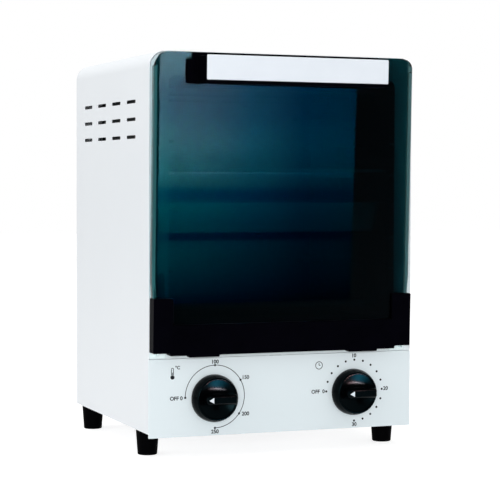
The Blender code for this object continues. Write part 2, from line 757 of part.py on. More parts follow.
def make_bake_tray():
    """Make the deep tray, whose rim lies on a pair of ledges."""
    half_rim = CHAMBER_HALF_WIDTH - SHELF_SIDE_GAP
    reach_rim = SHELF_DEPTH / 2
    half_sheet = TRAY_SHEET / 2
    floor_inset = TRAY_RIM + TRAY_DRAFT
    rings = [
        (0, half_sheet),
        (TRAY_RIM, half_sheet),
        (TRAY_RIM + TRAY_SHEET, half_sheet - TRAY_SHEET),
        (floor_inset, half_sheet - TRAY_HEIGHT + TRAY_FLOOR_RADIUS),
        (floor_inset + TRAY_FLOOR_RADIUS, half_sheet - TRAY_HEIGHT),
    ]
    outlines = []
    for inset, height in rings:
        half = half_rim - inset
        reach = reach_rim - inset
        outlines.append((rectangle(-half, half, -reach, reach, TRAY_CORNER - inset), height))
    mesh = loft_mesh("bake_tray", outlines, closed_start=False)
    place_y = depth(SHELF_FRONT_GAP + SHELF_DEPTH / 2)
    place_z = level(shelf_level(TRAY_LEDGE_FROM_TOP) + FIT)
    tray = part("bake_tray", mesh, "bright_steel", (0, place_y, place_z))
    thicken(tray, TRAY_SHEET)


# Door


def hinge_place():
    """Return the middle of the door's hinge axis."""
    return Vector((DOOR_SHIFT, depth(-HINGE_FORWARD), level(HINGE_LEVEL)))


def door_offset(distance, height):
    """Return a door piece's place from the hinge axis, for a place on the closed door."""
    return (0, distance + HINGE_FORWARD, height - HINGE_LEVEL)


def make_door_axis():
    """Return the empty on the hinge axis that leans the door forward."""
    axis = bpy.data.objects.new("door_axis", None)
    axis.location = hinge_place()
    axis.rotation_euler = (DOOR_TILT, 0, 0)
    bpy.data.collections["cutters"].objects.link(axis)
    return axis


def glass_path(spare):
    """Return the middle line of the glass in plan, with its sides bent back."""
    half = glass_half_width() - GLASS_THICKNESS / 2
    front = -(GLASS_FORWARD - GLASS_THICKNESS / 2)
    back = -(DOOR_GAP - spare)
    radius = GLASS_BEND - GLASS_THICKNESS / 2
    corners = [(-half, back, 0), (-half, front, radius), (half, front, radius), (half, back, 0)]
    return rounded(corners, closed=False)


def glass_half_width():
    """Return half the width of the glass, which the rail's ends wrap."""
    return DOOR_WIDTH / 2 - GLASS_SIDE_WALL - FIT


def glass_sheet(name, spare):
    """Return the middle surface of the glass and its place, or with some spare, those of its groove."""
    bottom = GLASS_BOTTOM - spare
    top = GLASS_TOP + spare
    mesh = bent_sheet_mesh(name, glass_path(spare), top - bottom, FACING_UP)
    return mesh, door_offset(0, (bottom + top) / 2)


def glass_corner_cutter(axis):
    """Return the two prisms that round the upper corners of the glass."""
    half = glass_half_width()
    radius = GLASS_CORNER
    meshes = []
    for side in (-1, 1):
        last = math.pi / 2 * (1 - side)
        quarter = arc(side * (half - radius), GLASS_TOP - radius, radius, math.pi / 2, last, ARC_STEPS * 2)
        outside = side * (half + OVERRUN)
        over = GLASS_TOP + OVERRUN
        corner = [(outside, GLASS_TOP - radius), (outside, over), (side * (half - radius), over)]
        meshes.append(plate_mesh("corner", [quarter + corner], GLASS_FORWARD + 2 * OVERRUN))
    mesh = joined_mesh("glass_corners", meshes, [(0, 0, 0)] * 2)
    return cutter("glass_corner_cutter", mesh, door_offset(-GLASS_FORWARD / 2, 0), axis)


def handle_screw_places():
    """Return the X and the level of each handle screw."""
    reach = (HANDLE_LENGTH - HANDLE_POST) / 2
    height = (HANDLE_TOP + HANDLE_BOTTOM) / 2
    return {"left": (-reach, height), "right": (reach, height)}


def screw_hole_cutter(name, front, back, radius, axis):
    """Return two rods that cut the handle screws' holes between two distances."""
    hole = rod_mesh(name, radius, back - front, "Y")
    places = [(x, (front + back) / 2, z) for x, z in handle_screw_places().values()]
    mesh = joined_mesh(name, [hole] * len(places), places)
    return cutter(name, mesh, door_offset(0, 0), axis)


def make_glass(axis):
    """Make the door's glass, with rounded upper corners and two holes for the handle."""
    mesh, place = glass_sheet("door_glass", 0)
    glass = part("door_glass", mesh, "tinted_glass", place, axis)
    thicken(glass, GLASS_THICKNESS)
    combine(glass, glass_corner_cutter(axis))
    front = -(GLASS_FORWARD + OVERRUN)
    combine(glass, screw_hole_cutter("glass_screw_holes", front, 0, SCREW_RADIUS + FIT, axis))


def rail_outline():
    """Return the outline of the door's bottom rail with its two end caps and two lugs."""
    half = DOOR_WIDTH / 2
    step = half - BRACKET_INSET - BRACKET_WIDTH
    points = [(-half, CAP_TOP), (-half, CAP_BOTTOM), (-step, CAP_BOTTOM), (-step, RAIL_BOTTOM)]
    for middle in (LUG_INSET - half, half - LUG_INSET):
        left = middle - LUG_WIDTH / 2
        right = middle + LUG_WIDTH / 2
        points += [(left, RAIL_BOTTOM), (left, LUG_BOTTOM), (right, LUG_BOTTOM), (right, RAIL_BOTTOM)]
    points += [(step, RAIL_BOTTOM), (step, CAP_BOTTOM), (half, CAP_BOTTOM), (half, CAP_TOP)]
    points += [(half - CAP_WIDTH, CAP_TOP), (half - CAP_WIDTH, RAIL_TOP)]
    points += [(CAP_WIDTH - half, RAIL_TOP), (CAP_WIDTH - half, CAP_TOP)]
    return points


def ear_x(side):
    """Return the X of a hinge bracket's ear, measured from the door's middle."""
    return side * (DOOR_WIDTH / 2 - EAR_INSET)


def hinge_cutters(side, axis):
    """Return the bore for a hinge pin and the slot that the bracket's ear swings in."""
    bore_length = PIN_LENGTH + 2 * FIT + PIN_INSET + OVERRUN
    bore = rod_mesh("pin_bore", PIN_RADIUS + FIT, bore_length, "X")
    bore_x = side * (DOOR_WIDTH / 2 + OVERRUN - bore_length / 2)
    width = EAR_THICKNESS + 4 * FIT
    sweep = rod_mesh("ear_sweep", EAR_SWEEP, width, "X")
    mesh = joined_mesh("hinge", [bore], [(bore_x, 0, 0)])
    slot_item = cutter("ear_slot_" + str(side), sweep, (ear_x(side), 0, 0), axis)
    return cutter("pin_bore_" + str(side), mesh, (0, 0, 0), axis), slot_item


def swing_cutter(axis):
    """Return the prism that rounds the rail's lower back edge about the hinge, clear of the brackets."""
    radius = HINGE_FORWARD - BRACKET_SHEET - 2 * FIT
    far = HINGE_FORWARD + OVERRUN
    outline = arc(0, 0, radius, 0, -math.pi / 2, ARC_STEPS) + [(0, -far), (far, -far), (far, 0)]
    mesh = plate_mesh("swing_clearance", [outline], DOOR_WIDTH + 2 * OVERRUN, FACING_SIDE)
    return cutter("swing_clearance", mesh, (0, 0, 0), axis)


def make_rail(axis):
    """Make the bottom rail, which grips the glass and carries the hinges and the arm."""
    thickness = RAIL_FORWARD - DOOR_GAP
    mesh = plate_mesh("door_rail", [rail_outline()], thickness)
    place = door_offset(-(RAIL_FORWARD + DOOR_GAP) / 2, 0)
    rail = part("door_rail", mesh, "black_plastic", place, axis)
    soften(rail, RAIL_EDGE, 1)
    mesh, place = glass_sheet("glass_groove", FIT)
    groove = cutter("glass_groove", mesh, place, axis)
    thicken(groove, GLASS_THICKNESS + 2 * FIT)
    tools = [swing_cutter(axis), groove]
    for side in (-1, 1):
        tools += hinge_cutters(side, axis)
    pocket = plate_mesh("arm_pocket", [arm_outline(FIT)], ARM_THICKNESS + 2 * FIT, FACING_SIDE)
    tools.append(cutter("arm_pocket", pocket, (ARM_X - DOOR_SHIFT, 0, 0), axis))
    for tool in tools:
        combine(rail, tool, solver="MANIFOLD")


def arm_outline(spare):
    """Return the door arm's arc about the hinge axis, hooked at its tail."""
    spare_angle = spare / ARM_INNER_RADIUS
    start = math.pi / 2 - ARM_START + spare_angle
    hook = math.pi / 2 - ARM_HOOK_START
    end = math.pi / 2 - ARM_END - spare_angle
    outer = arc(0, 0, ARM_OUTER_RADIUS + spare, start, end, ARM_STEPS)
    hooked = arc(0, 0, ARM_HOOK_RADIUS - spare, end, hook, 1)
    inner = arc(0, 0, ARM_INNER_RADIUS - spare, hook, start, ARM_STEPS)
    return outer + hooked + inner


def make_arm(axis):
    """Make the curved arm that runs through the frame's slot and stops the door."""
    mesh = plate_mesh("door_arm", [arm_outline(0)], ARM_THICKNESS, FACING_SIDE)
    part("door_arm", mesh, "bright_steel", (ARM_X - DOOR_SHIFT, 0, 0), axis)


def make_handle(axis):
    """Make the grip with its finger gap, the white front plate and the strip behind the glass."""
    middle = (HANDLE_TOP + HANDLE_BOTTOM) / 2
    height = HANDLE_TOP - HANDLE_BOTTOM
    back = -(GLASS_FORWARD + FIT)
    front = -(HANDLE_FORWARD - HANDLE_PLATE - FIT)
    gap_front = front + HANDLE_BAR
    half = HANDLE_LENGTH / 2
    inner = half - HANDLE_POST
    edge = 2 * HANDLE_EDGE
    outline = rounded([
        (-half, back, 0), (-half, front, edge), (half, front, edge), (half, back, 0),
        (inner, back, 0), (inner, gap_front, edge), (-inner, gap_front, edge), (-inner, back, 0),
    ])
    grip_height = height - 2 * HANDLE_RECESS
    mesh = plate_mesh("handle_grip", [outline], grip_height, FACING_UP)
    grip = part("handle_grip", mesh, "black_plastic", door_offset(0, middle), axis)
    tip = -(GLASS_FORWARD + SCREW_BITE)
    combine(grip, screw_hole_cutter("grip_screw_holes", tip, 0, SCREW_RADIUS + FIT, axis))
    plate = box_mesh("handle_plate", HANDLE_LENGTH, HANDLE_PLATE, height)
    place = door_offset(-(HANDLE_FORWARD - HANDLE_PLATE / 2), middle)
    soften(part("handle_plate", plate, "white_plastic", place, axis), HANDLE_EDGE)
    make_clamp_strip(axis)
    make_handle_screws(axis)


def make_clamp_strip(axis):
    """Make the strip behind the glass that the handle's screws pull on."""
    front = -(GLASS_FORWARD - GLASS_THICKNESS - FIT)
    back = front + STRIP_THICKNESS
    top = GLASS_TOP - HANDLE_EDGE
    height = top - STRIP_HEIGHT / 2
    mesh = box_mesh("clamp_strip", HANDLE_LENGTH + 2 * STRIP_MARGIN, STRIP_THICKNESS, STRIP_HEIGHT)
    strip = part("clamp_strip", mesh, "black_plastic", door_offset((front + back) / 2, height), axis)
    combine(strip, screw_hole_cutter("strip_screw_holes", front - OVERRUN, back, SCREW_RADIUS + FIT, axis))
    seat = back - SCREW_HEAD - FIT
    radius = SCREW_HEAD_RADIUS + FIT
    combine(strip, screw_hole_cutter("strip_counterbores", seat, back + OVERRUN, radius, axis))


def make_handle_screws(axis):
    """Make the two screws that hold the handle, their heads sunk in the strip."""
    head_back = -(GLASS_FORWARD - GLASS_THICKNESS - FIT) + STRIP_THICKNESS
    tip = -(GLASS_FORWARD + SCREW_BITE - FIT)
    profile = [
        (0, 0), (SCREW_RADIUS, 0), (SCREW_RADIUS, -(head_back - tip - SCREW_HEAD)),
        (SCREW_HEAD_RADIUS, -(head_back - tip - SCREW_HEAD)), (SCREW_HEAD_RADIUS, -(head_back - tip)),
        (0, -(head_back - tip)),
    ]
    for side, (place_x, height) in handle_screw_places().items():
        name = "handle_screw_" + side
        place_x, place_y, place_z = (place_x, *door_offset(tip, height)[1:])
        mesh = turned_mesh(name, profile)
        screw = part(name, mesh, "bright_steel", (place_x, place_y, place_z), axis)
        screw.rotation_euler = (math.pi / 2, 0, 0)
        turn_on_axis(screw, SMALL_STEPS)


def make_hinge(name, side):
    """Make one hinge: the bracket with its ear, on the front frame, and the pin."""
    middle = DOOR_SHIFT + side * (DOOR_WIDTH / 2 - BRACKET_INSET - BRACKET_WIDTH / 2)
    bottom = PANEL_HEIGHT + FIT + BRACKET_LIFT
    top = CAP_BOTTOM - FIT
    plate = box_mesh("hinge_bracket_" + name, BRACKET_WIDTH, BRACKET_SHEET, top - bottom)
    place = (middle, depth(-FIT - BRACKET_SHEET / 2), level((top + bottom) / 2))
    bracket = part("hinge_bracket_" + name, plate, "bright_steel", place)
    back = HINGE_FORWARD - FIT - BRACKET_SHEET / 2
    outline = arc(0, 0, EAR_RADIUS, math.pi / 2, math.pi * 3 / 2, ARC_STEPS * 2)
    outline += [(back, -EAR_RADIUS), (back, EAR_RADIUS)]
    ear = plate_mesh("ear_" + name, [outline], EAR_THICKNESS, FACING_SIDE)
    pivot = hinge_place() + Vector((ear_x(side), 0, 0))
    combine(bracket, cutter("ear_" + name, ear, pivot), "UNION")
    bore = rod_mesh("ear_bore_" + name, PIN_RADIUS + FIT, EAR_THICKNESS + 2 * OVERRUN, "X")
    combine(bracket, cutter("ear_bore_" + name, bore, pivot))
    pin = rod_mesh("hinge_pin_" + name, PIN_RADIUS, PIN_LENGTH, "X")
    pin_x = side * (DOOR_WIDTH / 2 - PIN_INSET - PIN_LENGTH / 2)
    part("hinge_pin_" + name, pin, "bright_steel", hinge_place() + Vector((pin_x, 0, 0)))


def make_door():
    """Hang the door on its axis."""
    axis = make_door_axis()
    make_glass(axis)
    make_rail(axis)
    make_handle(axis)
    make_arm(axis)
    make_hinge("left", -1)
    make_hinge("right", 1)


# Dials


def knob_profile():
    """Return half the section of a dial's flared skirt and dished front, without its blade."""
    rim_inner = KNOB_FRONT_RADIUS - KNOB_RIM
    floor = KNOB_SKIRT - KNOB_DISH
    bore = SHAFT_RADIUS + FIT
    return [
        (0, floor), (rim_inner - KNOB_RIM, floor), (rim_inner, KNOB_SKIRT - KNOB_RIM / 2),
        (rim_inner + KNOB_RIM / 3, KNOB_SKIRT), (KNOB_FRONT_RADIUS - KNOB_RIM / 3, KNOB_SKIRT),
        (KNOB_FRONT_RADIUS, KNOB_SKIRT - KNOB_RIM / 3), (KNOB_RADIUS - KNOB_RIM / 4, KNOB_RIM),
        (KNOB_RADIUS, KNOB_RIM / 2), (KNOB_RADIUS, 0), (bore, 0), (0, 0),
    ]


def blade_mesh(name):
    """Return the dial's grip blade, rounder at the pointer's end, with a slight taper to the front."""
    taper = KNOB_BLADE_DRAFT / 2
    rings = []
    for inset, height in ((-taper, KNOB_RIM), (0, KNOB_FRONT - KNOB_RIM / 2), (taper, KNOB_FRONT)):
        left = inset - KNOB_POINTER_REACH
        right = KNOB_GRIP_REACH - inset
        half = KNOB_BLADE_WIDTH / 2 - inset
        outline = rounded([
            (left, -half, KNOB_POINTER_ROUND), (right, -half, KNOB_GRIP_ROUND),
            (right, half, KNOB_GRIP_ROUND), (left, half, KNOB_POINTER_ROUND),
        ])
        rings.append((outline, height))
    return loft_mesh(name, rings, closed_start=True)


def make_knob(name, place_x):
    """Make one dial: the turned skirt, the blade on it and the bore for its shaft."""
    pose = (place_x, depth(-KNOB_GAP), level(KNOB_LEVEL))
    knob = part(name + "_knob", turned_mesh(name + "_knob", knob_profile()), "black_plastic", pose)
    turn_on_axis(knob)
    blade = cutter(name + "_blade", blade_mesh(name + "_blade"), pose)
    combine(knob, blade, "UNION")
    bore_length = KNOB_BORE_DEPTH + OVERRUN
    bore = rod_mesh(name + "_bore", SHAFT_RADIUS + FIT, bore_length)
    lowered = joined_mesh(name + "_bore", [bore], [(0, 0, bore_length / 2 - OVERRUN)])
    bore_cutter = cutter(name + "_bore_cutter", lowered, pose)
    combine(knob, bore_cutter)
    for item in (knob, blade, bore_cutter):
        item.rotation_euler = (math.pi / 2, 0, 0)
    shaft_front = KNOB_GAP + KNOB_BORE_DEPTH - FIT
    shaft_length = shaft_front + SHAFT_SEAT
    shaft = rod_mesh(name + "_shaft", SHAFT_RADIUS, shaft_length, "Y")
    shaft_y = depth(-shaft_front + shaft_length / 2)
    part(name + "_shaft", shaft, "bright_steel", (place_x, shaft_y, level(KNOB_LEVEL)))


def make_control(name, place_x, radius, length):
    """Make the thermostat or the timer behind the panel, with a blind bore for the dial's shaft."""
    neck = PANEL_THICKNESS
    shoulder = -FIT
    seat = -(SHAFT_SEAT + FIT - PANEL_THICKNESS)
    bore = SHAFT_RADIUS + FIT
    back = shoulder - length
    edge = (radius - NECK_RADIUS) / 4
    profile = [
        (0, seat), (bore, seat), (bore, neck), (NECK_RADIUS, neck), (NECK_RADIUS, shoulder),
        (radius - edge, shoulder), (radius, shoulder - edge), (radius, back), (0, back),
    ]
    pose = (place_x, depth(PANEL_THICKNESS), level(KNOB_LEVEL))
    control = part(name, turned_mesh(name, profile), "ceramic", pose)
    control.rotation_euler = (math.pi / 2, 0, 0)
    turn_on_axis(control, SMALL_STEPS)


def make_dials():
    """Make both dials with what they turn."""
    make_knob("temperature", TEMPERATURE_KNOB_X)
    make_knob("timer", TIMER_KNOB_X)
    make_control("thermostat", TEMPERATURE_KNOB_X, THERMOSTAT_RADIUS, THERMOSTAT_LENGTH)
    make_control("timer", TIMER_KNOB_X, TIMER_RADIUS, TIMER_LENGTH)


# Feet, bush and terminal block


def foot_profile():
    """Return the closed section of a foot, with its screw hole and counterbore."""
    top = level(SKIRT_LEVEL) - FIT
    hole = FOOT_SCREW_RADIUS + FIT
    recess = FOOT_SCREW_HEAD_RADIUS + FIT
    return [
        (hole, top), (FOOT_TOP_RADIUS, top), (FOOT_BOTTOM_RADIUS, FOOT_EDGE),
        (FOOT_BOTTOM_RADIUS - FOOT_EDGE, 0), (recess, 0), (recess, FOOT_COUNTERBORE),
        (hole, FOOT_COUNTERBORE),
    ]


def foot_screw_profile():
    """Return half the section of a foot's screw."""
    tip = level(SKIRT_LEVEL) + FOOT_SCREW_TIP
    seat = FOOT_COUNTERBORE - FIT
    return [
        (0, tip), (FOOT_SCREW_RADIUS, tip), (FOOT_SCREW_RADIUS, seat), (FOOT_SCREW_HEAD_RADIUS, seat),
        (FOOT_SCREW_HEAD_RADIUS, seat - FOOT_SCREW_HEAD), (0, seat - FOOT_SCREW_HEAD),
    ]


def make_feet():
    """Make the four feet and their screws."""
    for name, (place_x, place_y) in foot_places().items():
        place = (place_x, place_y, 0)
        foot = part("foot_" + name, turned_mesh("foot", foot_profile(), closed=True), "black_rubber", place)
        turn_on_axis(foot, ROUND_STEPS)
        mesh = turned_mesh("foot_screw", foot_screw_profile())
        screw = part("foot_screw_" + name, mesh, "bright_steel", place)
        turn_on_axis(screw, SMALL_STEPS)


def make_cable_bush():
    """Make the bush in the back plate that a supply cable leaves through."""
    inside = -(SHEET + FIT)
    profile = [
        (BUSH_BORE, BUSH_NOSE), (BUSH_NECK, BUSH_NOSE), (BUSH_FLANGE, FIT + BUSH_LIP),
        (BUSH_FLANGE, FIT), (BUSH_NECK, FIT), (BUSH_NECK, inside), (BUSH_FLANGE, inside),
        (BUSH_FLANGE, inside - BUSH_LIP), (BUSH_BORE, inside - BUSH_LIP),
    ]
    place = (BUSH_X, depth(BODY_DEPTH), level(BUSH_LEVEL))
    mesh = turned_mesh("cable_bush", profile, closed=True)
    bush = part("cable_bush", mesh, "black_rubber", place)
    bush.rotation_euler = (-math.pi / 2, 0, 0)
    turn_on_axis(bush, SMALL_STEPS)


def make_terminal_block():
    """Make the ribbed terminal block on the base, in line with the bush."""
    mesh = box_mesh("terminal_block", TERMINAL_LENGTH, TERMINAL_WIDTH, TERMINAL_HEIGHT)
    bottom = SKIRT_LEVEL + SHEET + FIT
    place_y = depth(BODY_DEPTH - BASE_VENT_LENGTH / 2 - TERMINAL_WIDTH)
    place = (BUSH_X - TERMINAL_LENGTH / 2, place_y, level(bottom + TERMINAL_HEIGHT / 2))
    block = part("terminal_block", mesh, "ceramic", place)
    pitch = (TERMINAL_LENGTH - TERMINAL_WALL) / TERMINAL_GROOVES
    width = TERMINAL_WIDTH + 2 * OVERRUN
    groove = box_mesh("groove", pitch - TERMINAL_WALL, width, 2 * TERMINAL_GROOVE_DEPTH)
    middle = (TERMINAL_GROOVES - 1) / 2
    places = [((index - middle) * pitch, 0, TERMINAL_HEIGHT / 2) for index in range(TERMINAL_GROOVES)]
    grooves = joined_mesh("terminal_grooves", [groove] * TERMINAL_GROOVES, places)
    combine(block, cutter("terminal_grooves", grooves, place))


def main():
    """Build the sterilizer."""
    start_scene()
    make_wrapper()
    make_base()
    make_rear_panel()
    make_front_frame()
    make_control_panel()
    make_chamber()
    make_heaters()
    make_wire_rack()
    make_bake_tray()
    make_door()
    make_dials()
    make_feet()
    make_cable_bush()
    make_terminal_block()
    bpy.context.view_layer.update()


main()
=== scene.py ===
"""The looks of a benchtop dry heat sterilizer: white enamel, a dark glass door, black mouldings and dials.

Lengths are metres in the frame's own axes: +Z up, -Y out of the door, +X to the viewer's right.
A place on the front is the distance from the panel's left edge and the height over its lower edge.
"""

import json
import logging
import math
from dataclasses import dataclass, field
from enum import Enum
from typing import Iterable, Sequence

import bmesh
import bpy
import numpy as np
from bpy.types import Material, Mesh, Node, NodeSocket, NodeTree, Object
from mathutils import Matrix, Vector


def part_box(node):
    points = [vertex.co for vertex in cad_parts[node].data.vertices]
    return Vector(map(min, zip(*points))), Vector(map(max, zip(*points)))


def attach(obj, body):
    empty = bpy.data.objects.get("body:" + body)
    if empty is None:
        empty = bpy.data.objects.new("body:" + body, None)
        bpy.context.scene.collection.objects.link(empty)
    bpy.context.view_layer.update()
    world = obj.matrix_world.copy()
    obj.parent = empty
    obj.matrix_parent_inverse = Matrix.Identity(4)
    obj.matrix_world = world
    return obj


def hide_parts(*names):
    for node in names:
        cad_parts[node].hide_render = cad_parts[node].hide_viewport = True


LOG = logging.getLogger("sterilizer")

SMOOTH_ANGLE = 35.0
WRAPPER_SMOOTH_ANGLE = 30.0
BEVEL_ANGLE = 40.0
FLAT_ANGLE = 1.0
NOISE_SPREAD = (0.3, 0.7)
WELD = 0.000001
NODE_WELD = 0.000002

Colour = tuple[float, float, float]
Point = tuple[float, float, float]
Span = tuple[float, float]
Array = np.ndarray
Shell = tuple[Array, list[list[int]]]


class Body(Enum):
    """The moving bodies that a piece can ride on."""

    HOUSING = "housing"
    DOOR = "door"
    TEMPERATURE = "temperature_dial"
    TIMER = "timer_dial"
    RACK = "rack"
    TRAY = "tray"


# Node graphs


def new_material(name: str) -> tuple[Material, Node]:
    """Make an empty node material with one Principled shader.

    Args:
        name: The material's name.

    Returns:
        The material and its Principled node.
    """
    material = bpy.data.materials.new(name)
    material.use_nodes = True
    return material, material.node_tree.nodes["Principled BSDF"]


def noise(material: Material, scale: float, detail: float, stretch: Sequence[float]) -> NodeSocket:
    """Add fractal noise on Object coordinates, stretched along the axes.

    Args:
        material: The material to add it to.
        scale: Cells in a metre.
        detail: The number of octaves.
        stretch: A factor for each axis.

    Returns:
        The noise's value socket.
    """
    nodes, links = material.node_tree.nodes, material.node_tree.links
    place = nodes.new("ShaderNodeTexCoord")
    mapping = nodes.new("ShaderNodeMapping")
    mapping.inputs["Scale"].default_value = tuple(stretch)
    texture = nodes.new("ShaderNodeTexNoise")
    texture.inputs["Scale"].default_value = scale
    texture.inputs["Detail"].default_value = detail
    links.new(place.outputs["Object"], mapping.inputs["Vector"])
    links.new(mapping.outputs["Vector"], texture.inputs["Vector"])
    return texture.outputs["Fac"]


def spread(
    material: Material, value: NodeSocket, low: Sequence[float], high: Sequence[float]
) -> NodeSocket:
    """Turn a noise value into a colour between two colours.

    Args:
        material: The material to add it to.
        value: The noise.
        low: The colour where the noise is low.
        high: The colour where it is high.

    Returns:
        The colour socket.
    """
    ramp = material.node_tree.nodes.new("ShaderNodeValToRGB")
    for element, place, colour in zip(ramp.color_ramp.elements, NOISE_SPREAD, (low, high)):
        element.position = place
        element.color = (*colour, 1.0)
    material.node_tree.links.new(value, ramp.inputs["Fac"])
    return ramp.outputs["Color"]


def vary_roughness(
    material: Material, shader: Node, value: NodeSocket, low: float, high: float
) -> None:
    """Drive a shader's roughness between two values by noise.

    Args:
        material: The material.
        shader: Its Principled node.
        value: The noise.
        low: The least roughness.
        high: The most.
    """
    span = material.node_tree.nodes.new("ShaderNodeMapRange")
    span.inputs["To Min"].default_value = low
    span.inputs["To Max"].default_value = high
    material.node_tree.links.new(value, span.inputs["Value"])
    material.node_tree.links.new(span.outputs["Result"], shader.inputs["Roughness"])


def emboss(
    material: Material, shader: Node, value: NodeSocket, height: float, strength: float
) -> None:
    """Raise a shader's surface by noise.

    Args:
        material: The material.
        shader: Its Principled node.
        value: The noise.
        height: The bump's height in metres.
        strength: How much of it shows.
    """
    bump = material.node_tree.nodes.new("ShaderNodeBump")
    bump.inputs["Strength"].default_value = strength
    bump.inputs["Distance"].default_value = height
    material.node_tree.links.new(value, bump.inputs["Height"])
    material.node_tree.links.new(bump.outputs["Normal"], shader.inputs["Normal"])


# Finishes


@dataclass(frozen=True)
class Enamel:
    """Baked powder coat with a faint orange peel."""

    name: str
    colour: Colour
    shade: Colour
    roughness: Span = (0.30, 0.38)
    peel_scale: float = 420.0
    peel_height: float = 0.00004
    peel_strength: float = 0.25
    patch_scale: float = 9.0
    coat: float = 0.15
    coat_roughness: float = 0.12

    def build(self) -> Material:
        """Make the material."""
        material, shader = new_material(self.name)
        broad = noise(material, self.patch_scale, 3.0, (1, 1, 1))
        peel = noise(material, self.peel_scale, 2.0, (1, 1, 1))
        tint = spread(material, broad, self.shade, self.colour)
        material.node_tree.links.new(tint, shader.inputs["Base Color"])
        vary_roughness(material, shader, broad, *self.roughness)
        emboss(material, shader, peel, self.peel_height, self.peel_strength)
        shader.inputs["Coat Weight"].default_value = self.coat
        shader.inputs["Coat Roughness"].default_value = self.coat_roughness
        return material


@dataclass(frozen=True)
class Moulding:
    """Moulded plastic or rubber with a fine grain."""

    name: str
    colour: Colour
    shade: Colour
    roughness: Span
    grain_scale: float = 1800.0
    grain_height: float = 0.00003
    specular: float = 0.5
    gloss_tint: Colour = (1.0, 1.0, 1.0)
    grain_strength: float = 0.3
    patch_scale: float = 60.0

    def build(self) -> Material:
        """Make the material."""
        material, shader = new_material(self.name)
        broad = noise(material, self.patch_scale, 3.0, (1, 1, 1))
        grain = noise(material, self.grain_scale, 2.0, (1, 1, 1))
        tint = spread(material, broad, self.shade, self.colour)
        material.node_tree.links.new(tint, shader.inputs["Base Color"])
        vary_roughness(material, shader, broad, *self.roughness)
        emboss(material, shader, grain, self.grain_height, self.grain_strength)
        shader.inputs["Specular IOR Level"].default_value = self.specular
        shader.inputs["Specular Tint"].default_value = (*self.gloss_tint, 1.0)
        return material


@dataclass(frozen=True)
class Sheet:
    """Rolled or plated metal, with fine lines along one axis."""

    name: str
    colour: Colour
    shade: Colour
    roughness: Span
    stretch: tuple[float, float, float] = (1.0, 1.0, 1.0)
    line_scale: float = 900.0
    line_height: float = 0.00002
    line_strength: float = 0.35
    stain_scale: float = 22.0
    metallic: float = 1.0

    def build(self) -> Material:
        """Make the material."""
        material, shader = new_material(self.name)
        stains = noise(material, self.stain_scale, 4.0, (1, 1, 1))
        lines = noise(material, self.line_scale, 3.0, self.stretch)
        tint = spread(material, stains, self.shade, self.colour)
        material.node_tree.links.new(tint, shader.inputs["Base Color"])
        vary_roughness(material, shader, stains, *self.roughness)
        emboss(material, shader, lines, self.line_height, self.line_strength)
        shader.inputs["Metallic"].default_value = self.metallic
        return material


@dataclass(frozen=True)
class TintedPane:
    """Dark blue-green glass that lets lamps through, so that what lies behind it is lit."""

    name: str
    tint: Colour
    # The colour of the painted edge highlight, not a colour of the glass itself.
    edge_highlight_colour: Colour
    mirror: Colour
    index: float = 1.5
    roughness: Span = (0.0, 0.006)
    wave_scale: float = 14.0
    tilt: float = math.radians(1.7)
    back_edge: Span = (-0.0966, -0.0960)
    right_edge: Span = (0.1126, 0.1152)

    def build(self) -> Material:
        """Make the material."""
        material, shader = new_material(self.name)
        nodes, links = material.node_tree.nodes, material.node_tree.links
        waves = noise(material, self.wave_scale, 1.0, (1, 1, 1))
        # The base colour carries a painted highlight: lighter towards the cut back edges and the right side.
        links.new(self.painted_edge_highlight(material), shader.inputs["Base Color"])
        shader.inputs["Transmission Weight"].default_value = 1.0
        shader.inputs["Specular Tint"].default_value = (*self.mirror, 1.0)
        shader.inputs["IOR"].default_value = self.index
        vary_roughness(material, shader, waves, *self.roughness)
        lamp_ray = nodes.new("ShaderNodeLightPath")
        film = nodes.new("ShaderNodeBsdfTransparent")
        film.inputs["Color"].default_value = (*[math.sqrt(value) for value in self.tint], 1.0)
        mix = nodes.new("ShaderNodeMixShader")
        links.new(lamp_ray.outputs["Is Shadow Ray"], mix.inputs["Fac"])
        links.new(shader.outputs["BSDF"], mix.inputs[1])
        links.new(film.outputs["BSDF"], mix.inputs[2])
        links.new(mix.outputs["Shader"], nodes["Material Output"].inputs["Surface"])
        return material

    def painted_edge_highlight(self, material: Material) -> NodeSocket:
        """Paint a highlight into the glass colour at the cut back edges, by depth along the leaning door,
        and at the right side: a lighter tint that stands in for the bright bent edges of the glass.

        Args:
            material: The material.

        Returns:
            The colour socket.
        """
        nodes, links = material.node_tree.nodes, material.node_tree.links
        place = nodes.new("ShaderNodeTexCoord")
        axes = nodes.new("ShaderNodeSeparateXYZ")
        links.new(place.outputs["Object"], axes.inputs["Vector"])
        depth = nodes.new("ShaderNodeVectorMath")
        depth.operation = "DOT_PRODUCT"
        depth.inputs[1].default_value = (0.0, math.cos(self.tilt), math.sin(self.tilt))
        links.new(place.outputs["Object"], depth.inputs[0])
        either = nodes.new("ShaderNodeMath")
        either.operation = "MAXIMUM"
        for index, (value, (start, end)) in enumerate((
            (depth.outputs["Value"], self.back_edge), (axes.outputs["X"], self.right_edge)
        )):
            share = nodes.new("ShaderNodeMapRange")
            share.inputs["From Min"].default_value = start
            share.inputs["From Max"].default_value = end
            links.new(value, share.inputs["Value"])
            links.new(share.outputs["Result"], either.inputs[index])
        # Blend from the glass colour to the painted edge highlight.
        blend = nodes.new("ShaderNodeValToRGB")
        blend.color_ramp.elements[0].color = (*self.tint, 1.0)
        blend.color_ramp.elements[1].color = (*self.edge_highlight_colour, 1.0)
        links.new(either.outputs["Value"], blend.inputs["Fac"])
        return blend.outputs["Color"]


Finish = Enamel | Moulding | Sheet | TintedPane

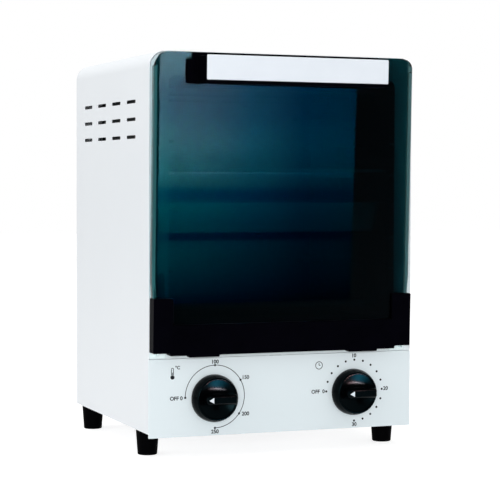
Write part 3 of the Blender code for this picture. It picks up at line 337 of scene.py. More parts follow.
CASING = Enamel("casing_enamel", (0.80, 0.84, 0.875), (0.78, 0.82, 0.855))
FRONT = Enamel("front_enamel", (0.765, 0.850, 0.885), (0.745, 0.830, 0.865))
CHAMBER = Sheet("chamber_sheet", (0.05, 0.055, 0.06), (0.03, 0.035, 0.04), (0.34, 0.46), (1, 1, 12))
BASE = Sheet("base_sheet", (0.46, 0.47, 0.48), (0.38, 0.39, 0.41), (0.38, 0.50), (1, 14, 1))
PLATED = Sheet("bright_steel", (0.74, 0.75, 0.76), (0.62, 0.63, 0.64), (0.16, 0.26), (8, 1, 1))
SATIN = Sheet("satin_steel", (0.70, 0.80, 0.81), (0.64, 0.74, 0.75), (0.50, 0.60))
WIRE = Sheet("rack_wire", (0.80, 0.81, 0.82), (0.66, 0.67, 0.68), (0.12, 0.22))
PAN = Sheet("tray_sheet", (0.52, 0.53, 0.55), (0.42, 0.43, 0.45), (0.26, 0.38), (10, 1, 1))
HEATER = Sheet("heater_sheath", (0.24, 0.23, 0.22), (0.15, 0.14, 0.14), (0.45, 0.60), (1, 12, 12))
BLACK = Moulding(
    "black_plastic", (0.0010, 0.0009, 0.0022), (0.0006, 0.0006, 0.0014), (0.30, 0.40), specular=0.008,
    gloss_tint=(0.5, 0.6, 1.0),
)
KNOB_BLACK = Moulding(
    "knob_plastic", (0.0006, 0.0008, 0.0012), (0.0004, 0.0005, 0.0008), (0.14, 0.20), specular=0.035,
    gloss_tint=(0.35, 0.85, 1.0),
)
WHITE = Moulding("white_plastic", (0.775, 0.825, 0.885), (0.755, 0.805, 0.865), (0.40, 0.48), specular=0.1)
RUBBER = Moulding(
    "foot_rubber", (0.0010, 0.0010, 0.0014), (0.0006, 0.0006, 0.0009), (0.5, 0.62), 900.0, 0.00008, 0.01
)
CERAMIC = Moulding("control_body", (0.68, 0.66, 0.60), (0.60, 0.58, 0.52), (0.45, 0.55))
INK = Moulding("print_ink", (0.010, 0.012, 0.016), (0.007, 0.008, 0.010), (0.50, 0.58), specular=0.1)
# The second colour is a painted edge highlight, blended into the glass colour at its cut edges and right
# side.
PANE = TintedPane("tinted_glass", (0.003, 0.040, 0.047), (0.15, 0.27, 0.27), (0.0055, 0.0215, 0.0345))


class Workshop:
    """Makes each material once and turns worked out surfaces into pieces."""

    def __init__(self) -> None:
        """Start with no materials made."""
        self.made: dict[str, Material] = {}

    def material(self, finish: Finish) -> Material:
        """Return a finish's material, made at its first use.

        Args:
            finish: The finish.

        Returns:
            Its material.
        """
        if finish.name not in self.made:
            self.made[finish.name] = finish.build()
        return self.made[finish.name]

    def dress(self, node: str, finish: Finish) -> None:
        """Give a frame node its finish.

        Args:
            node: The node's name.
            finish: The finish.
        """
        mesh = FRAME["nodes"][node].data
        mesh.materials.clear()
        mesh.materials.append(self.material(finish))

    def piece(
        self,
        name: str,
        mesh: Mesh,
        finish: Finish,
        body: Body,
        stands_for: Iterable[str] = (),
    ) -> Object:
        """Put a mesh in the scene as a piece that rides on a body.

        Args:
            name: The piece's name.
            mesh: Its mesh, already in place.
            finish: Its finish.
            body: The body it rides on.
            stands_for: The frame nodes that it replaces.

        Returns:
            The piece.
        """
        item = bpy.data.objects.new(name, mesh)
        bpy.context.scene.collection.objects.link(item)
        mesh.materials.clear()
        mesh.materials.append(self.material(finish))
        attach(item, body.value)
        nodes = tuple(stands_for)
        if nodes:
            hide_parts(*nodes)
        LOG.info("%s rides on %s", name, body.value)
        return item


    def soft_copy(
        self, name: str, node: str, finish: Finish, body: Body, width: float
    ) -> None:
        """Replace a frame node by a merged copy whose sharp edges are rounded.

        Args:
            name: The piece's name.
            node: The frame node.
            finish: Its finish.
            body: The body it rides on.
            width: The width of the rounding.
        """
        soften(self.piece(name, merged_copy(node), finish, body, [node]), width)


# Surfaces


def grid_faces(rows: int, columns: int, closed: bool) -> Array:
    """Index the quads of a grid of points, row after row.

    Args:
        rows: The number of rows of points.
        columns: The number of points in a row.
        closed: Whether each row's last point joins its first.

    Returns:
        An array of four corners for each quad.
    """
    run = columns if closed else columns - 1
    first = np.arange(rows - 1)[:, None] * columns + np.arange(run)[None, :]
    after = np.arange(rows - 1)[:, None] * columns + (np.arange(run)[None, :] + 1) % columns
    return np.stack([first, after, after + columns, first + columns], axis=-1).reshape(-1, 4)


def ring_faces(rings: int, corners: int, capped: bool = True) -> list[list[int]]:
    """Index the faces between rings of points, each ring closed on itself.

    Args:
        rings: The number of rings.
        corners: The number of points in a ring.
        capped: Whether the first and the last ring are filled.

    Returns:
        The faces' corners.
    """
    faces = [list(face) for face in grid_faces(rings, corners, closed=True)]
    if capped:
        faces += [list(range(corners)), list(range((rings - 1) * corners, rings * corners))]
    return faces


def mesh_of(
    name: str, points: Array, faces: Sequence[Sequence[int]], smooth_angle: float = SMOOTH_ANGLE
) -> Mesh:
    """Make a mesh whose faces point out, smooth up to an angle.

    Args:
        name: The mesh's name.
        points: The corners, in place.
        faces: The faces' corners.
        smooth_angle: The angle in degrees past which an edge is sharp.

    Returns:
        The mesh.
    """
    mesh = bpy.data.meshes.new(name)
    mesh.from_pydata(points.reshape(-1, 3).tolist(), [], [list(map(int, face)) for face in faces])
    shape = bmesh.new()
    shape.from_mesh(mesh)
    bmesh.ops.remove_doubles(shape, verts=shape.verts, dist=WELD)
    shape.normal_update()
    bmesh.ops.recalc_face_normals(shape, faces=shape.faces)
    shape.to_mesh(mesh)
    shape.free()
    mesh.shade_smooth()
    mesh.set_sharp_from_angle(angle=math.radians(smooth_angle))
    return mesh


def lofted(name: str, rings: Array, capped: bool = True, smooth_angle: float = SMOOTH_ANGLE) -> Mesh:
    """Join rings of points in order, each ring closed on itself.

    Args:
        name: The mesh's name.
        rings: Points as (ring, corner, axis).
        capped: Whether the first and the last ring are filled.
        smooth_angle: The angle in degrees past which an edge is sharp.

    Returns:
        The mesh.
    """
    return mesh_of(name, rings, ring_faces(*rings.shape[:2], capped), smooth_angle)


def turned(profile: Array, steps: int) -> Array:
    """Carry a profile round the Z axis: each point goes to (radius cos a, radius sin a, height).

    Args:
        profile: Points as (radius, height).
        steps: The number of angles.

    Returns:
        Rings of points, one for each profile point.
    """
    angles = np.linspace(0, math.tau, steps, endpoint=False)
    radius, height = profile[:, :1], profile[:, 1:]
    flat = np.stack([radius * np.cos(angles), radius * np.sin(angles)], axis=-1)
    return np.concatenate([flat, np.broadcast_to(height[..., None], (len(profile), steps, 1))], axis=-1)


def tube(path: Array, radius: float, sides: int, closed: bool = False) -> Shell:
    """Carry a circle along a flat path in X and Y, square to it at each point.

    Args:
        path: The path's points.
        radius: The circle's radius.
        sides: The circle's corners.
        closed: Whether the path closes on itself.

    Returns:
        The points and the faces.
    """
    ahead = np.roll(path, -1, axis=0) - np.roll(path, 1, axis=0)
    if not closed:
        ahead[0], ahead[-1] = path[1] - path[0], path[-1] - path[-2]
    ahead /= np.linalg.norm(ahead, axis=1, keepdims=True)
    across = np.stack([-ahead[:, 1], ahead[:, 0], np.zeros(len(path))], axis=1)
    up = np.cross(ahead, across)
    angles = np.linspace(0, math.tau, sides, endpoint=False)[None, :, None]
    rings = path[:, None] + radius * (np.cos(angles) * across[:, None] + np.sin(angles) * up[:, None])
    if closed:
        rings = np.concatenate([rings, rings[:1]])
    return rings.reshape(-1, 3), ring_faces(len(rings), sides, capped=not closed)


def gather(parts: Iterable[Shell]) -> Shell:
    """Put several bodies' points and faces together.

    Args:
        parts: The points and faces of each.

    Returns:
        All points and all faces, renumbered.
    """
    points: list[Array] = []
    faces: list[list[int]] = []
    count = 0
    for corners, sides in parts:
        points.append(corners.reshape(-1, 3))
        faces += [[index + count for index in face] for face in sides]
        count += len(points[-1])
    return np.concatenate(points), faces


def rounded_box(reach: Span, half: float, radius: Span, steps: int) -> Array:
    """Return a rectangle with round corners, anticlockwise: four quarter circles joined by straight runs.

    Args:
        reach: How far it goes to the left and to the right of its origin.
        half: Half its height.
        radius: The left corners' radius and the right corners'.
        steps: The points in each corner.

    Returns:
        The outline's points.
    """
    quarter = np.linspace(0, math.pi / 2, steps)
    corners = []
    for turn, (side_x, side_y) in enumerate(((1, 1), (-1, 1), (-1, -1), (1, -1))):
        end, bend = (reach[1], radius[1]) if side_x > 0 else (reach[0], radius[0])
        angle = quarter + turn * math.pi / 2
        centre = np.array([side_x * (end - bend), side_y * (half - bend)])
        corners.append(centre + bend * np.stack([np.cos(angle), np.sin(angle)], axis=1))
    return np.concatenate(corners)


def even_box(half_x: float, half_y: float, radius: float, steps: int) -> Array:
    """Return a rounded box that is the same to the left and to the right.

    Args:
        half_x: Half its width.
        half_y: Half its height.
        radius: The corners' radius.
        steps: The points in each corner.

    Returns:
        The outline's points.
    """
    return rounded_box((half_x, half_x), half_y, (radius, radius), steps)


def carve(item: Object, cutters: Sequence[Mesh]) -> None:
    """Cut meshes out of an object and keep the result as its mesh.

    Args:
        item: The object.
        cutters: The meshes to cut away.
    """
    guides = []
    for mesh in cutters:
        guide = bpy.data.objects.new(mesh.name, mesh)
        bpy.context.scene.collection.objects.link(guide)
        cut = item.modifiers.new(mesh.name, "BOOLEAN")
        cut.object = guide
        cut.solver = "EXACT"
        guides.append(guide)
    settle(item)
    for guide in guides:
        bpy.data.objects.remove(guide, do_unlink=True)


def settle(item: Object) -> None:
    """Turn an object's modifiers into its mesh.

    Args:
        item: The object.
    """
    bpy.context.view_layer.update()
    graph = bpy.context.evaluated_depsgraph_get()
    mesh = bpy.data.meshes.new_from_object(item.evaluated_get(graph), depsgraph=graph)
    item.modifiers.clear()
    item.data = mesh


def soften(item: Object, width: float, segments: int = 2) -> None:
    """Round an object's sharp edges and weigh its normals by face area.

    Args:
        item: The object.
        width: The width of the rounding.
        segments: Its faces.
    """
    bevel = item.modifiers.new("soft_edges", "BEVEL")
    bevel.width = width
    bevel.segments = segments
    bevel.limit_method = "ANGLE"
    bevel.angle_limit = math.radians(BEVEL_ANGLE)
    bevel.miter_outer = "MITER_ARC"
    weigh = item.modifiers.new("weighed_normals", "WEIGHTED_NORMAL")
    weigh.keep_sharp = True


def merged_copy(node: str) -> Mesh:
    """Copy a frame node's mesh, with its doubles merged and its flat faces joined.

    Args:
        node: The node's name.

    Returns:
        The copy.
    """
    shape = bmesh.new()
    shape.from_mesh(FRAME["nodes"][node].data)
    bmesh.ops.remove_doubles(shape, verts=shape.verts, dist=NODE_WELD)
    flat = math.radians(FLAT_ANGLE)
    bmesh.ops.dissolve_limit(shape, angle_limit=flat, verts=shape.verts, edges=shape.edges)
    mesh = bpy.data.meshes.new(node)
    shape.to_mesh(mesh)
    shape.free()
    mesh.shade_smooth()
    mesh.set_sharp_from_angle(angle=math.radians(SMOOTH_ANGLE))
    return mesh


def on_front(x: float, z: float) -> Span:
    """Return the frame's X and Z of a place on the control panel.

    Args:
        x: The distance from the panel's left edge.
        z: The height over its lower edge.

    Returns:
        The frame's X and Z.
    """
    low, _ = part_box("control_panel")
    return low[0] + x, low[2] + z


# The sub-assemblies


@dataclass
class Casing:
    """The white sheet casing with its slots, panel, frame and back."""

    sheet: float = 0.0010
    corner: float = 0.014
    corner_steps: int = 18
    hem: float = 0.0003
    fine_hem: float = 0.0001
    slot_length: float = 0.027
    slot_height: float = 0.003
    slot_first: float = 0.0515
    slot_pitch: float = 0.0445
    slot_drop: float = 0.042
    slot_row_pitch: float = 0.0155
    slot_columns: int = 4
    slot_rows: int = 3
    slot_steps: int = 8
    screw_radius: float = 0.0030
    screw_head: float = 0.0016
    screw_inset: float = 0.0075
    screw_steps: tuple[int, int] = (7, 24)

    def wrapper_outline(self) -> Array:
        """Return the closed section of the folded sheet: down one face and back up the other."""
        low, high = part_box("outer_wrapper")
        outer = self.fold(low, high, 0)
        inner = self.fold(low, high, self.sheet)
        return np.concatenate([outer, inner[::-1]])

    def fold(self, low: Vector, high: Vector, inset: float) -> Array:
        """Return an upside-down U: straight sides, two quarter circles and a straight top.

        Args:
            low: The wrapper's lowest corner.
            high: Its highest corner.
            inset: The distance in from its outer face.

        Returns:
            Points as (x, z).
        """
        radius = self.corner - inset
        quarter = np.linspace(0, math.pi / 2, self.corner_steps)
        right = np.stack([np.cos(quarter), np.sin(quarter)], axis=1) * radius
        left = np.stack([-np.sin(quarter), np.cos(quarter)], axis=1) * radius
        centre_right = np.array([high[0] - self.corner, high[2] - self.corner])
        centre_left = np.array([low[0] + self.corner, high[2] - self.corner])
        feet = np.array([[high[0] - inset, low[2]], [low[0] + inset, low[2]]])
        return np.concatenate([feet[:1], centre_right + right, centre_left + left, feet[1:]])

    def slot_bars(self) -> Mesh:
        """Return the bars with round ends that cut the slots through both sides."""
        low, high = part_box("outer_wrapper")
        half = self.slot_height / 2
        outline = even_box(self.slot_length / 2, half, half, self.slot_steps)
        parts = []
        for column in range(self.slot_columns):
            for row in range(self.slot_rows):
                y = low[1] + self.slot_first + column * self.slot_pitch
                z = high[2] - self.slot_drop - row * self.slot_row_pitch
                ends = []
                for x in (low[0] - self.sheet, high[0] + self.sheet):
                    flat = np.column_stack([np.full(len(outline), x), outline[:, 0] + y, outline[:, 1] + z])
                    ends.append(flat)
                parts.append((np.stack(ends), ring_faces(2, len(outline))))
        points, faces = gather(parts)
        return mesh_of("slot_bars", points, faces)

    def panel_notch(self) -> Mesh:
        """Return the block that clears the wrapper's front edges for the control panel."""
        low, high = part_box("control_panel")
        gap = Vector((self.sheet, self.hem, self.hem))
        near, far = low - gap, high + gap
        near.y -= self.sheet
        corners = [[x, y, z] for x in (near.x, far.x) for y in (near.y, far.y) for z in (near.z, far.z)]
        faces = [(0, 1, 3, 2), (4, 6, 7, 5), (0, 4, 5, 1), (2, 3, 7, 6), (0, 2, 6, 4), (1, 5, 7, 3)]
        return mesh_of("panel_notch", np.array(corners), faces)

    def build(self, shop: Workshop) -> None:
        """Make the wrapper anew and dress the rest.

        Args:
            shop: Where pieces are made.
        """
        low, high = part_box("outer_wrapper")
        outline = self.wrapper_outline()
        ends = [np.insert(outline, 1, y, axis=1) for y in (low[1], high[1])]
        mesh = lofted("folded_wrapper", np.stack(ends))
        wrapper = shop.piece("folded_wrapper", mesh, CASING, Body.HOUSING, ["outer_wrapper"])
        carve(wrapper, [self.slot_bars(), self.panel_notch()])
        wrapper.data.materials.clear()
        wrapper.data.materials.append(shop.material(CASING))
        wrapper.data.shade_smooth()
        wrapper.data.set_sharp_from_angle(angle=math.radians(WRAPPER_SMOOTH_ANGLE))
        soften(wrapper, self.hem)
        for node, finish, hem in (
            ("control_panel", FRONT, self.fine_hem),
            ("front_frame", FRONT, self.fine_hem),
            ("rear_panel", CASING, self.hem),
        ):
            shop.soft_copy("enamelled_" + node, node, finish, Body.HOUSING, hem)
        shop.dress("base_tray", BASE)
        self.rear_screws(shop)

    def rear_screws(self, shop: Workshop) -> None:
        """Put pan-head screws round the back panel, each a turned quarter circle on a flat underside.

        Args:
            shop: Where pieces are made.
        """
        low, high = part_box("rear_panel")
        arc_steps, round_steps = self.screw_steps
        angle = np.linspace(0, math.pi / 2, arc_steps)
        dome = np.stack([self.screw_radius * np.cos(angle), self.screw_head * np.sin(angle)], axis=1)
        profile = np.concatenate([[[0, 0], [self.screw_radius, 0]], dome[1:-1], [[0, self.screw_head]]])
        rings = turned(profile, round_steps)[:, :, [0, 2, 1]]
        middle = (low[2] + high[2]) / 2
        levels = (low[2] + self.screw_inset * 2, middle, high[2] - self.screw_inset)
        for side, x in (("left", low[0] + self.screw_inset), ("right", high[0] - self.screw_inset)):
            for row, z in zip(("low", "middle", "high"), levels):
                placed = rings + np.array([x, high[1], z])
                mesh = lofted("rear_screw_" + side + "_" + row, placed)
                shop.piece(mesh.name, mesh, PLATED, Body.HOUSING)


@dataclass
class Chamber:
    """The ledged chamber with its heaters, sensor, rack and tray."""

    rail_radius: float = 0.0016
    wire_radius: float = 0.0011
    rail_corner: float = 0.010
    rail_sides: int = 14
    wire_sides: int = 12
    corner_steps: int = 10
    wires: int = 11
    pan_edge: float = 0.0002

    def build(self, shop: Workshop) -> None:
        """Dress the chamber and make the rack anew.

        Args:
            shop: Where pieces are made.
        """
        for node in ("chamber_left", "chamber_right", "chamber_top", "chamber_floor", "chamber_back"):
            shop.dress(node, CHAMBER)
        for node in ("heater_upper_front", "heater_upper_rear", "heater_lower_front", "heater_lower_rear"):
            shop.dress(node, HEATER)
        shop.dress("temperature_sensor", PLATED)
        self.build_rack(shop)
        shop.soft_copy("drawn_tray", "bake_tray", PAN, Body.TRAY, self.pan_edge)

    def build_rack(self, shop: Workshop) -> None:
        """Make the rack: a round rail bent into a rectangle, and straight wires across its depth.

        Args:
            shop: Where pieces are made.
        """
        low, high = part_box("wire_rack")
        centre = (low + high) / 2
        half = (high - low) / 2
        reach_x, reach_y = half[0] - self.rail_radius, half[1] - self.rail_radius
        loop = even_box(reach_x, reach_y, self.rail_corner, self.corner_steps)
        place = np.array(centre)
        rail = tube(np.insert(loop, 2, 0, axis=1) + place, self.rail_radius, self.rail_sides, closed=True)
        parts = [rail]
        pitch = 2 * reach_x / (self.wires + 1)
        for index in range(self.wires):
            x = (index + 1) * pitch - reach_x
            ends = np.array([[x, -reach_y, 0], [x, reach_y, 0]]) + place
            parts.append(tube(ends, self.wire_radius, self.wire_sides))
        points, faces = gather(parts)
        shop.piece("welded_rack", mesh_of("welded_rack", points, faces), WIRE, Body.RACK, ["wire_rack"])


@dataclass
class Door:
    """The leaning glass door with its rail, handle, arm and hinges.

    The lip, foot and flange are spans in X, in depth from the hinge axis and in height over it.
    """

    tilt: float = math.radians(1.7)
    width: float = 0.2436
    side_wall: float = 0.0010
    glass: float = 0.0035
    front: float = 0.0088
    gap: float = 0.0009
    bend: float = 0.004
    corner: float = 0.012
    forward: float = 0.006
    bottom: float = 0.084
    top: float = 0.3315
    hinge_level: float = 0.0747
    edge: float = 0.0006
    lip: tuple[Span, Span, Span] = ((-0.0872, 0.0810), (-0.0266, -0.0030), (0.2298, 0.2345))
    foot: tuple[Span, Span, Span] = ((-0.0980, -0.0860), (-0.0040, -0.0029), (0.2303, 0.2507))
    flange: tuple[Span, Span, Span] = ((-0.0920, 0.0812), (-0.0042, -0.0029), (0.2323, 0.2563))
    flare: float = 0.0011
    flare_level: float = 0.1225
    flare_height: float = 0.010
    bend_steps: int = 12
    front_steps: int = 36
    near_bend: tuple[float, float, float] = (0.001, 0.01, 0.03)
    rows: int = 24
    rail_edge: float = 0.0004
    grip_edge: float = 0.0005
    plate_edge: float = 0.0003
    trim_edge: float = 0.0003
    bracket_edge: float = 0.0002

    def hinge(self) -> Array:
        """Return the hinge axis's place in the frame."""
        joint = next(joint for joint in FRAME["joints"] if joint["name"] == "door_hinge")
        return np.array(joint["pos_m"])

    def hang(self, points: Array) -> Array:
        """Lean points about the hinge: y and z turn by the tilt, then move to the axis.

        Args:
            points: Places from the hinge axis on the closed door.

        Returns:
            Their places in the frame.
        """
        cosine, sine = math.cos(self.tilt), math.sin(self.tilt)
        y = points[..., 1] * cosine - points[..., 2] * sine
        z = points[..., 1] * sine + points[..., 2] * cosine
        return np.stack([points[..., 0], y, z], axis=-1) + self.hinge()

    def block(self, name: str, across: Span, depth: Span, height: Span) -> Mesh:
        """Make a rectangular moulding on the door: two rectangles in plan, one at each height, joined.

        Args:
            name: The mesh's name.
            across: Its ends in X.
            depth: Its front and back from the hinge axis, before the door leans.
            height: Its lower and upper side over the hinge axis, before the door leans.

        Returns:
            The mesh.
        """
        plan = np.stack([np.take(across, [0, 1, 1, 0]), np.take(depth, [0, 0, 1, 1])], axis=1)
        plan[:, 0] -= self.hinge()[0]
        rings = np.stack([np.insert(plan, 2, z, axis=1) for z in height])
        return lofted(name, self.hang(rings))

    def pane_path(self) -> Array:
        """Return the pane's outer face in plan: back edge, quarter bend, front, quarter bend, back edge."""
        half = self.width / 2 - self.side_wall
        quarter = np.linspace(0, math.pi / 2, self.bend_steps)
        bend = np.stack([-np.cos(quarter), -np.sin(quarter)], axis=1) * self.bend
        left = bend + np.array([self.bend - half, self.bend - self.front])
        near = np.array(self.near_bend)
        even = np.linspace(near[-1], 1 - near[-1], self.front_steps)
        share = np.concatenate([near[:-1], even, 1 - near[-2::-1]])[:, None]
        straight = left[-1] * (1 - share) + left[-1] * np.array([-1, 1]) * share
        right = left[::-1] * np.array([-1, 1])
        back = np.array([[-half, -self.gap]])
        return np.concatenate([back, left, straight, right, back * np.array([-1, 1])])

    def build_pane(self, shop: Workshop) -> None:
        """Make the pane: the plan path times a height whose top falls in a quarter circle at each side.

        Args:
            shop: Where pieces are made.
        """
        path = self.pane_path()
        half = self.width / 2 - self.side_wall
        over = np.clip(np.abs(path[:, 0]) - (half - self.corner), 0, self.corner)
        top = self.top - self.corner + np.sqrt(self.corner**2 - over**2)
        share = np.linspace(0, 1, self.rows)[:, None]
        z = self.bottom + share * (top[None, :] - self.bottom)
        flat = np.broadcast_to(path, (len(share), *path.shape))
        rise = np.clip((z - self.flare_level) / self.flare_height, 0, 1)
        side = np.sign(flat[..., 0]) * (np.abs(flat[..., 0]) > half - self.corner)
        x = flat[..., 0] + side * self.flare * rise
        grid = np.stack([x, flat[..., 1] + self.forward, z - self.hinge_level], axis=-1)
        mesh = mesh_of("bent_pane", self.hang(grid), grid_faces(*grid.shape[:2], closed=False))
        pane = shop.piece("bent_pane", mesh, PANE, Body.DOOR, ["door_glass"])
        wall = pane.modifiers.new("thickness", "SOLIDIFY")
        wall.thickness = self.glass
        wall.offset = -1
        wall.use_even_offset = True
        settle(pane)
        pane.data.shade_smooth()
        pane.data.set_sharp_from_angle(angle=math.radians(SMOOTH_ANGLE))
        soften(pane, self.edge)

    def build(self, shop: Workshop) -> None:
        """Make the pane and finish the mouldings and metalwork.

        Args:
            shop: Where pieces are made.
        """
        self.build_pane(shop)
        for node, finish, width in (
            ("door_rail", BLACK, self.rail_edge),
            ("handle_grip", BLACK, self.grip_edge),
            ("handle_plate", WHITE, self.plate_edge),
            ("clamp_strip", BLACK, self.rail_edge),
        ):
            shop.soft_copy("moulded_" + node, node, finish, Body.DOOR, width)
        for name, spans in (("grip_lip", self.lip), ("grip_foot", self.foot), ("grip_flange", self.flange)):
            trim = shop.piece(name, self.block(name, *spans), BLACK, Body.DOOR)
            soften(trim, self.trim_edge)
        for node in ("door_arm", "handle_screw_left", "handle_screw_right"):
            shop.dress(node, PLATED)
        for side in ("left", "right"):
            shop.dress("hinge_pin_" + side, PLATED)
            node = "hinge_bracket_" + side
            shop.soft_copy("pressed_" + node, node, SATIN, Body.HOUSING, self.bracket_edge)


@dataclass
class Dial:
    """One dial: a flared skirt with a rolled rim and a dished face, a grip blade and a white pointer."""

    name: str
    body: Body
    radius: float = 0.0208
    face: float = 0.0189
    skirt: float = 0.0115
    rim: float = 0.0022
    dish: float = 0.0045
    blade: Span = (0.0130, 0.0172)
    blade_width: float = 0.0086
    reach: float = 0.0185
    pointer: Span = (0.0062, 0.0106)
    pointer_width: float = 0.0050
    pointer_depth: Span = (-0.0006, 0.00004)
    foot_height: float = 0.0008
    foot_inset: float = 0.0005
    belly: float = 0.0006
    roll_steps: int = 9
    side_steps: int = 10
    turn_steps: int = 96
    skirt_smooth: float = 50.0
    blade_corners: Span = (0.0040, 0.0022)
    blade_flat: float = 0.0001
    blade_root: float = 0.0008
    blade_draft: float = 0.0009
    blade_round: float = 0.0016
    blade_round_from: float = 0.75
    blade_steps: tuple[int, int] = (9, 8)
    blade_smooth: float = 38.0

    def place(self, points: Array) -> Array:
        """Turn points from the dial's own axes, with z out of the panel, to the frame.

        Args:
            points: Places from the middle of the dial's back.

        Returns:
            Their places in the frame.
        """
        low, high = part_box(self.name + "_knob")
        centre = np.array([(low[0] + high[0]) / 2, high[1], (low[2] + high[2]) / 2])
        return np.stack([points[..., 0], -points[..., 2], points[..., 1]], axis=-1) + centre

    def section(self) -> Array:
        """Return the turned section from the back to the middle of the face, its rim a half circle."""
        half_rim = self.rim / 2
        roll = np.linspace(0, math.pi, self.roll_steps)
        lip_radius = self.face - half_rim + half_rim * np.cos(roll)
        lip = np.stack([lip_radius, self.skirt + half_rim * (np.sin(roll) - 1)], axis=1)
        flare = np.linspace(0, 1, self.side_steps)[:, None]
        foot = np.array([[self.radius, self.foot_height]])
        side = foot + (lip[:1] - foot) * flare
        side[:, 0] += self.belly * np.sin(math.pi * flare[:, 0])
        dish = np.linspace(0, 1, self.side_steps)[1:, None]
        bowl = np.hstack([
            lip[-1, 0] * (1 - dish), lip[-1, 1] - (self.dish - half_rim) * np.sin(dish * math.pi / 2)
        ])
        return np.concatenate([[[0, 0], [self.radius - self.foot_inset, 0]], side, lip[1:], bowl])

    def blade_rings(self) -> Array:
        """Return the blade's rings: round at the pointer's end and nearly square at the other."""
        ring_count, corner_steps = self.blade_steps
        rings = []
        for share in np.linspace(0, 1, ring_count):
            front = max(0.0, (share - self.blade_round_from) / (1 - self.blade_round_from))
            shrink = self.blade_draft * share + self.blade_round * front**2
            height = self.skirt - self.dish + share * (self.reach - self.skirt + self.dish)
            half = self.blade_width / 2 + self.blade_root - shrink
            reach = tuple(end - shrink for end in self.blade)
            radius = tuple(min(corner, half - self.blade_flat) for corner in self.blade_corners)
            ring = rounded_box(reach, half, radius, corner_steps)
            rings.append(np.insert(ring, 2, height, axis=1))
        return np.stack(rings)

    def build(self, shop: Workshop) -> None:
        """Make the skirt, the blade and the pointer.

        Args:
            shop: Where pieces are made.
        """
        rings = self.place(turned(self.section(), self.turn_steps))
        skirt = lofted(self.name + "_skirt", rings, smooth_angle=self.skirt_smooth)
        shop.piece(skirt.name, skirt, KNOB_BLACK, self.body, [self.name + "_knob"])
        blade = lofted(self.name + "_blade", self.place(self.blade_rings()), smooth_angle=self.blade_smooth)
        shop.piece(blade.name, blade, KNOB_BLACK, self.body)
        tail, tip = self.pointer
        wide = self.pointer_width / 2
        flat = np.array([[-tip, 0.0], [-tail, -wide], [-tail, wide]])
        rings = [np.column_stack([flat, np.full(3, self.reach + lift)]) for lift in self.pointer_depth]
        mark = lofted(self.name + "_pointer", self.place(np.stack(rings)))
        shop.piece(mark.name, mark, WHITE, self.body)
        shop.dress(self.name + "_shaft", PLATED)


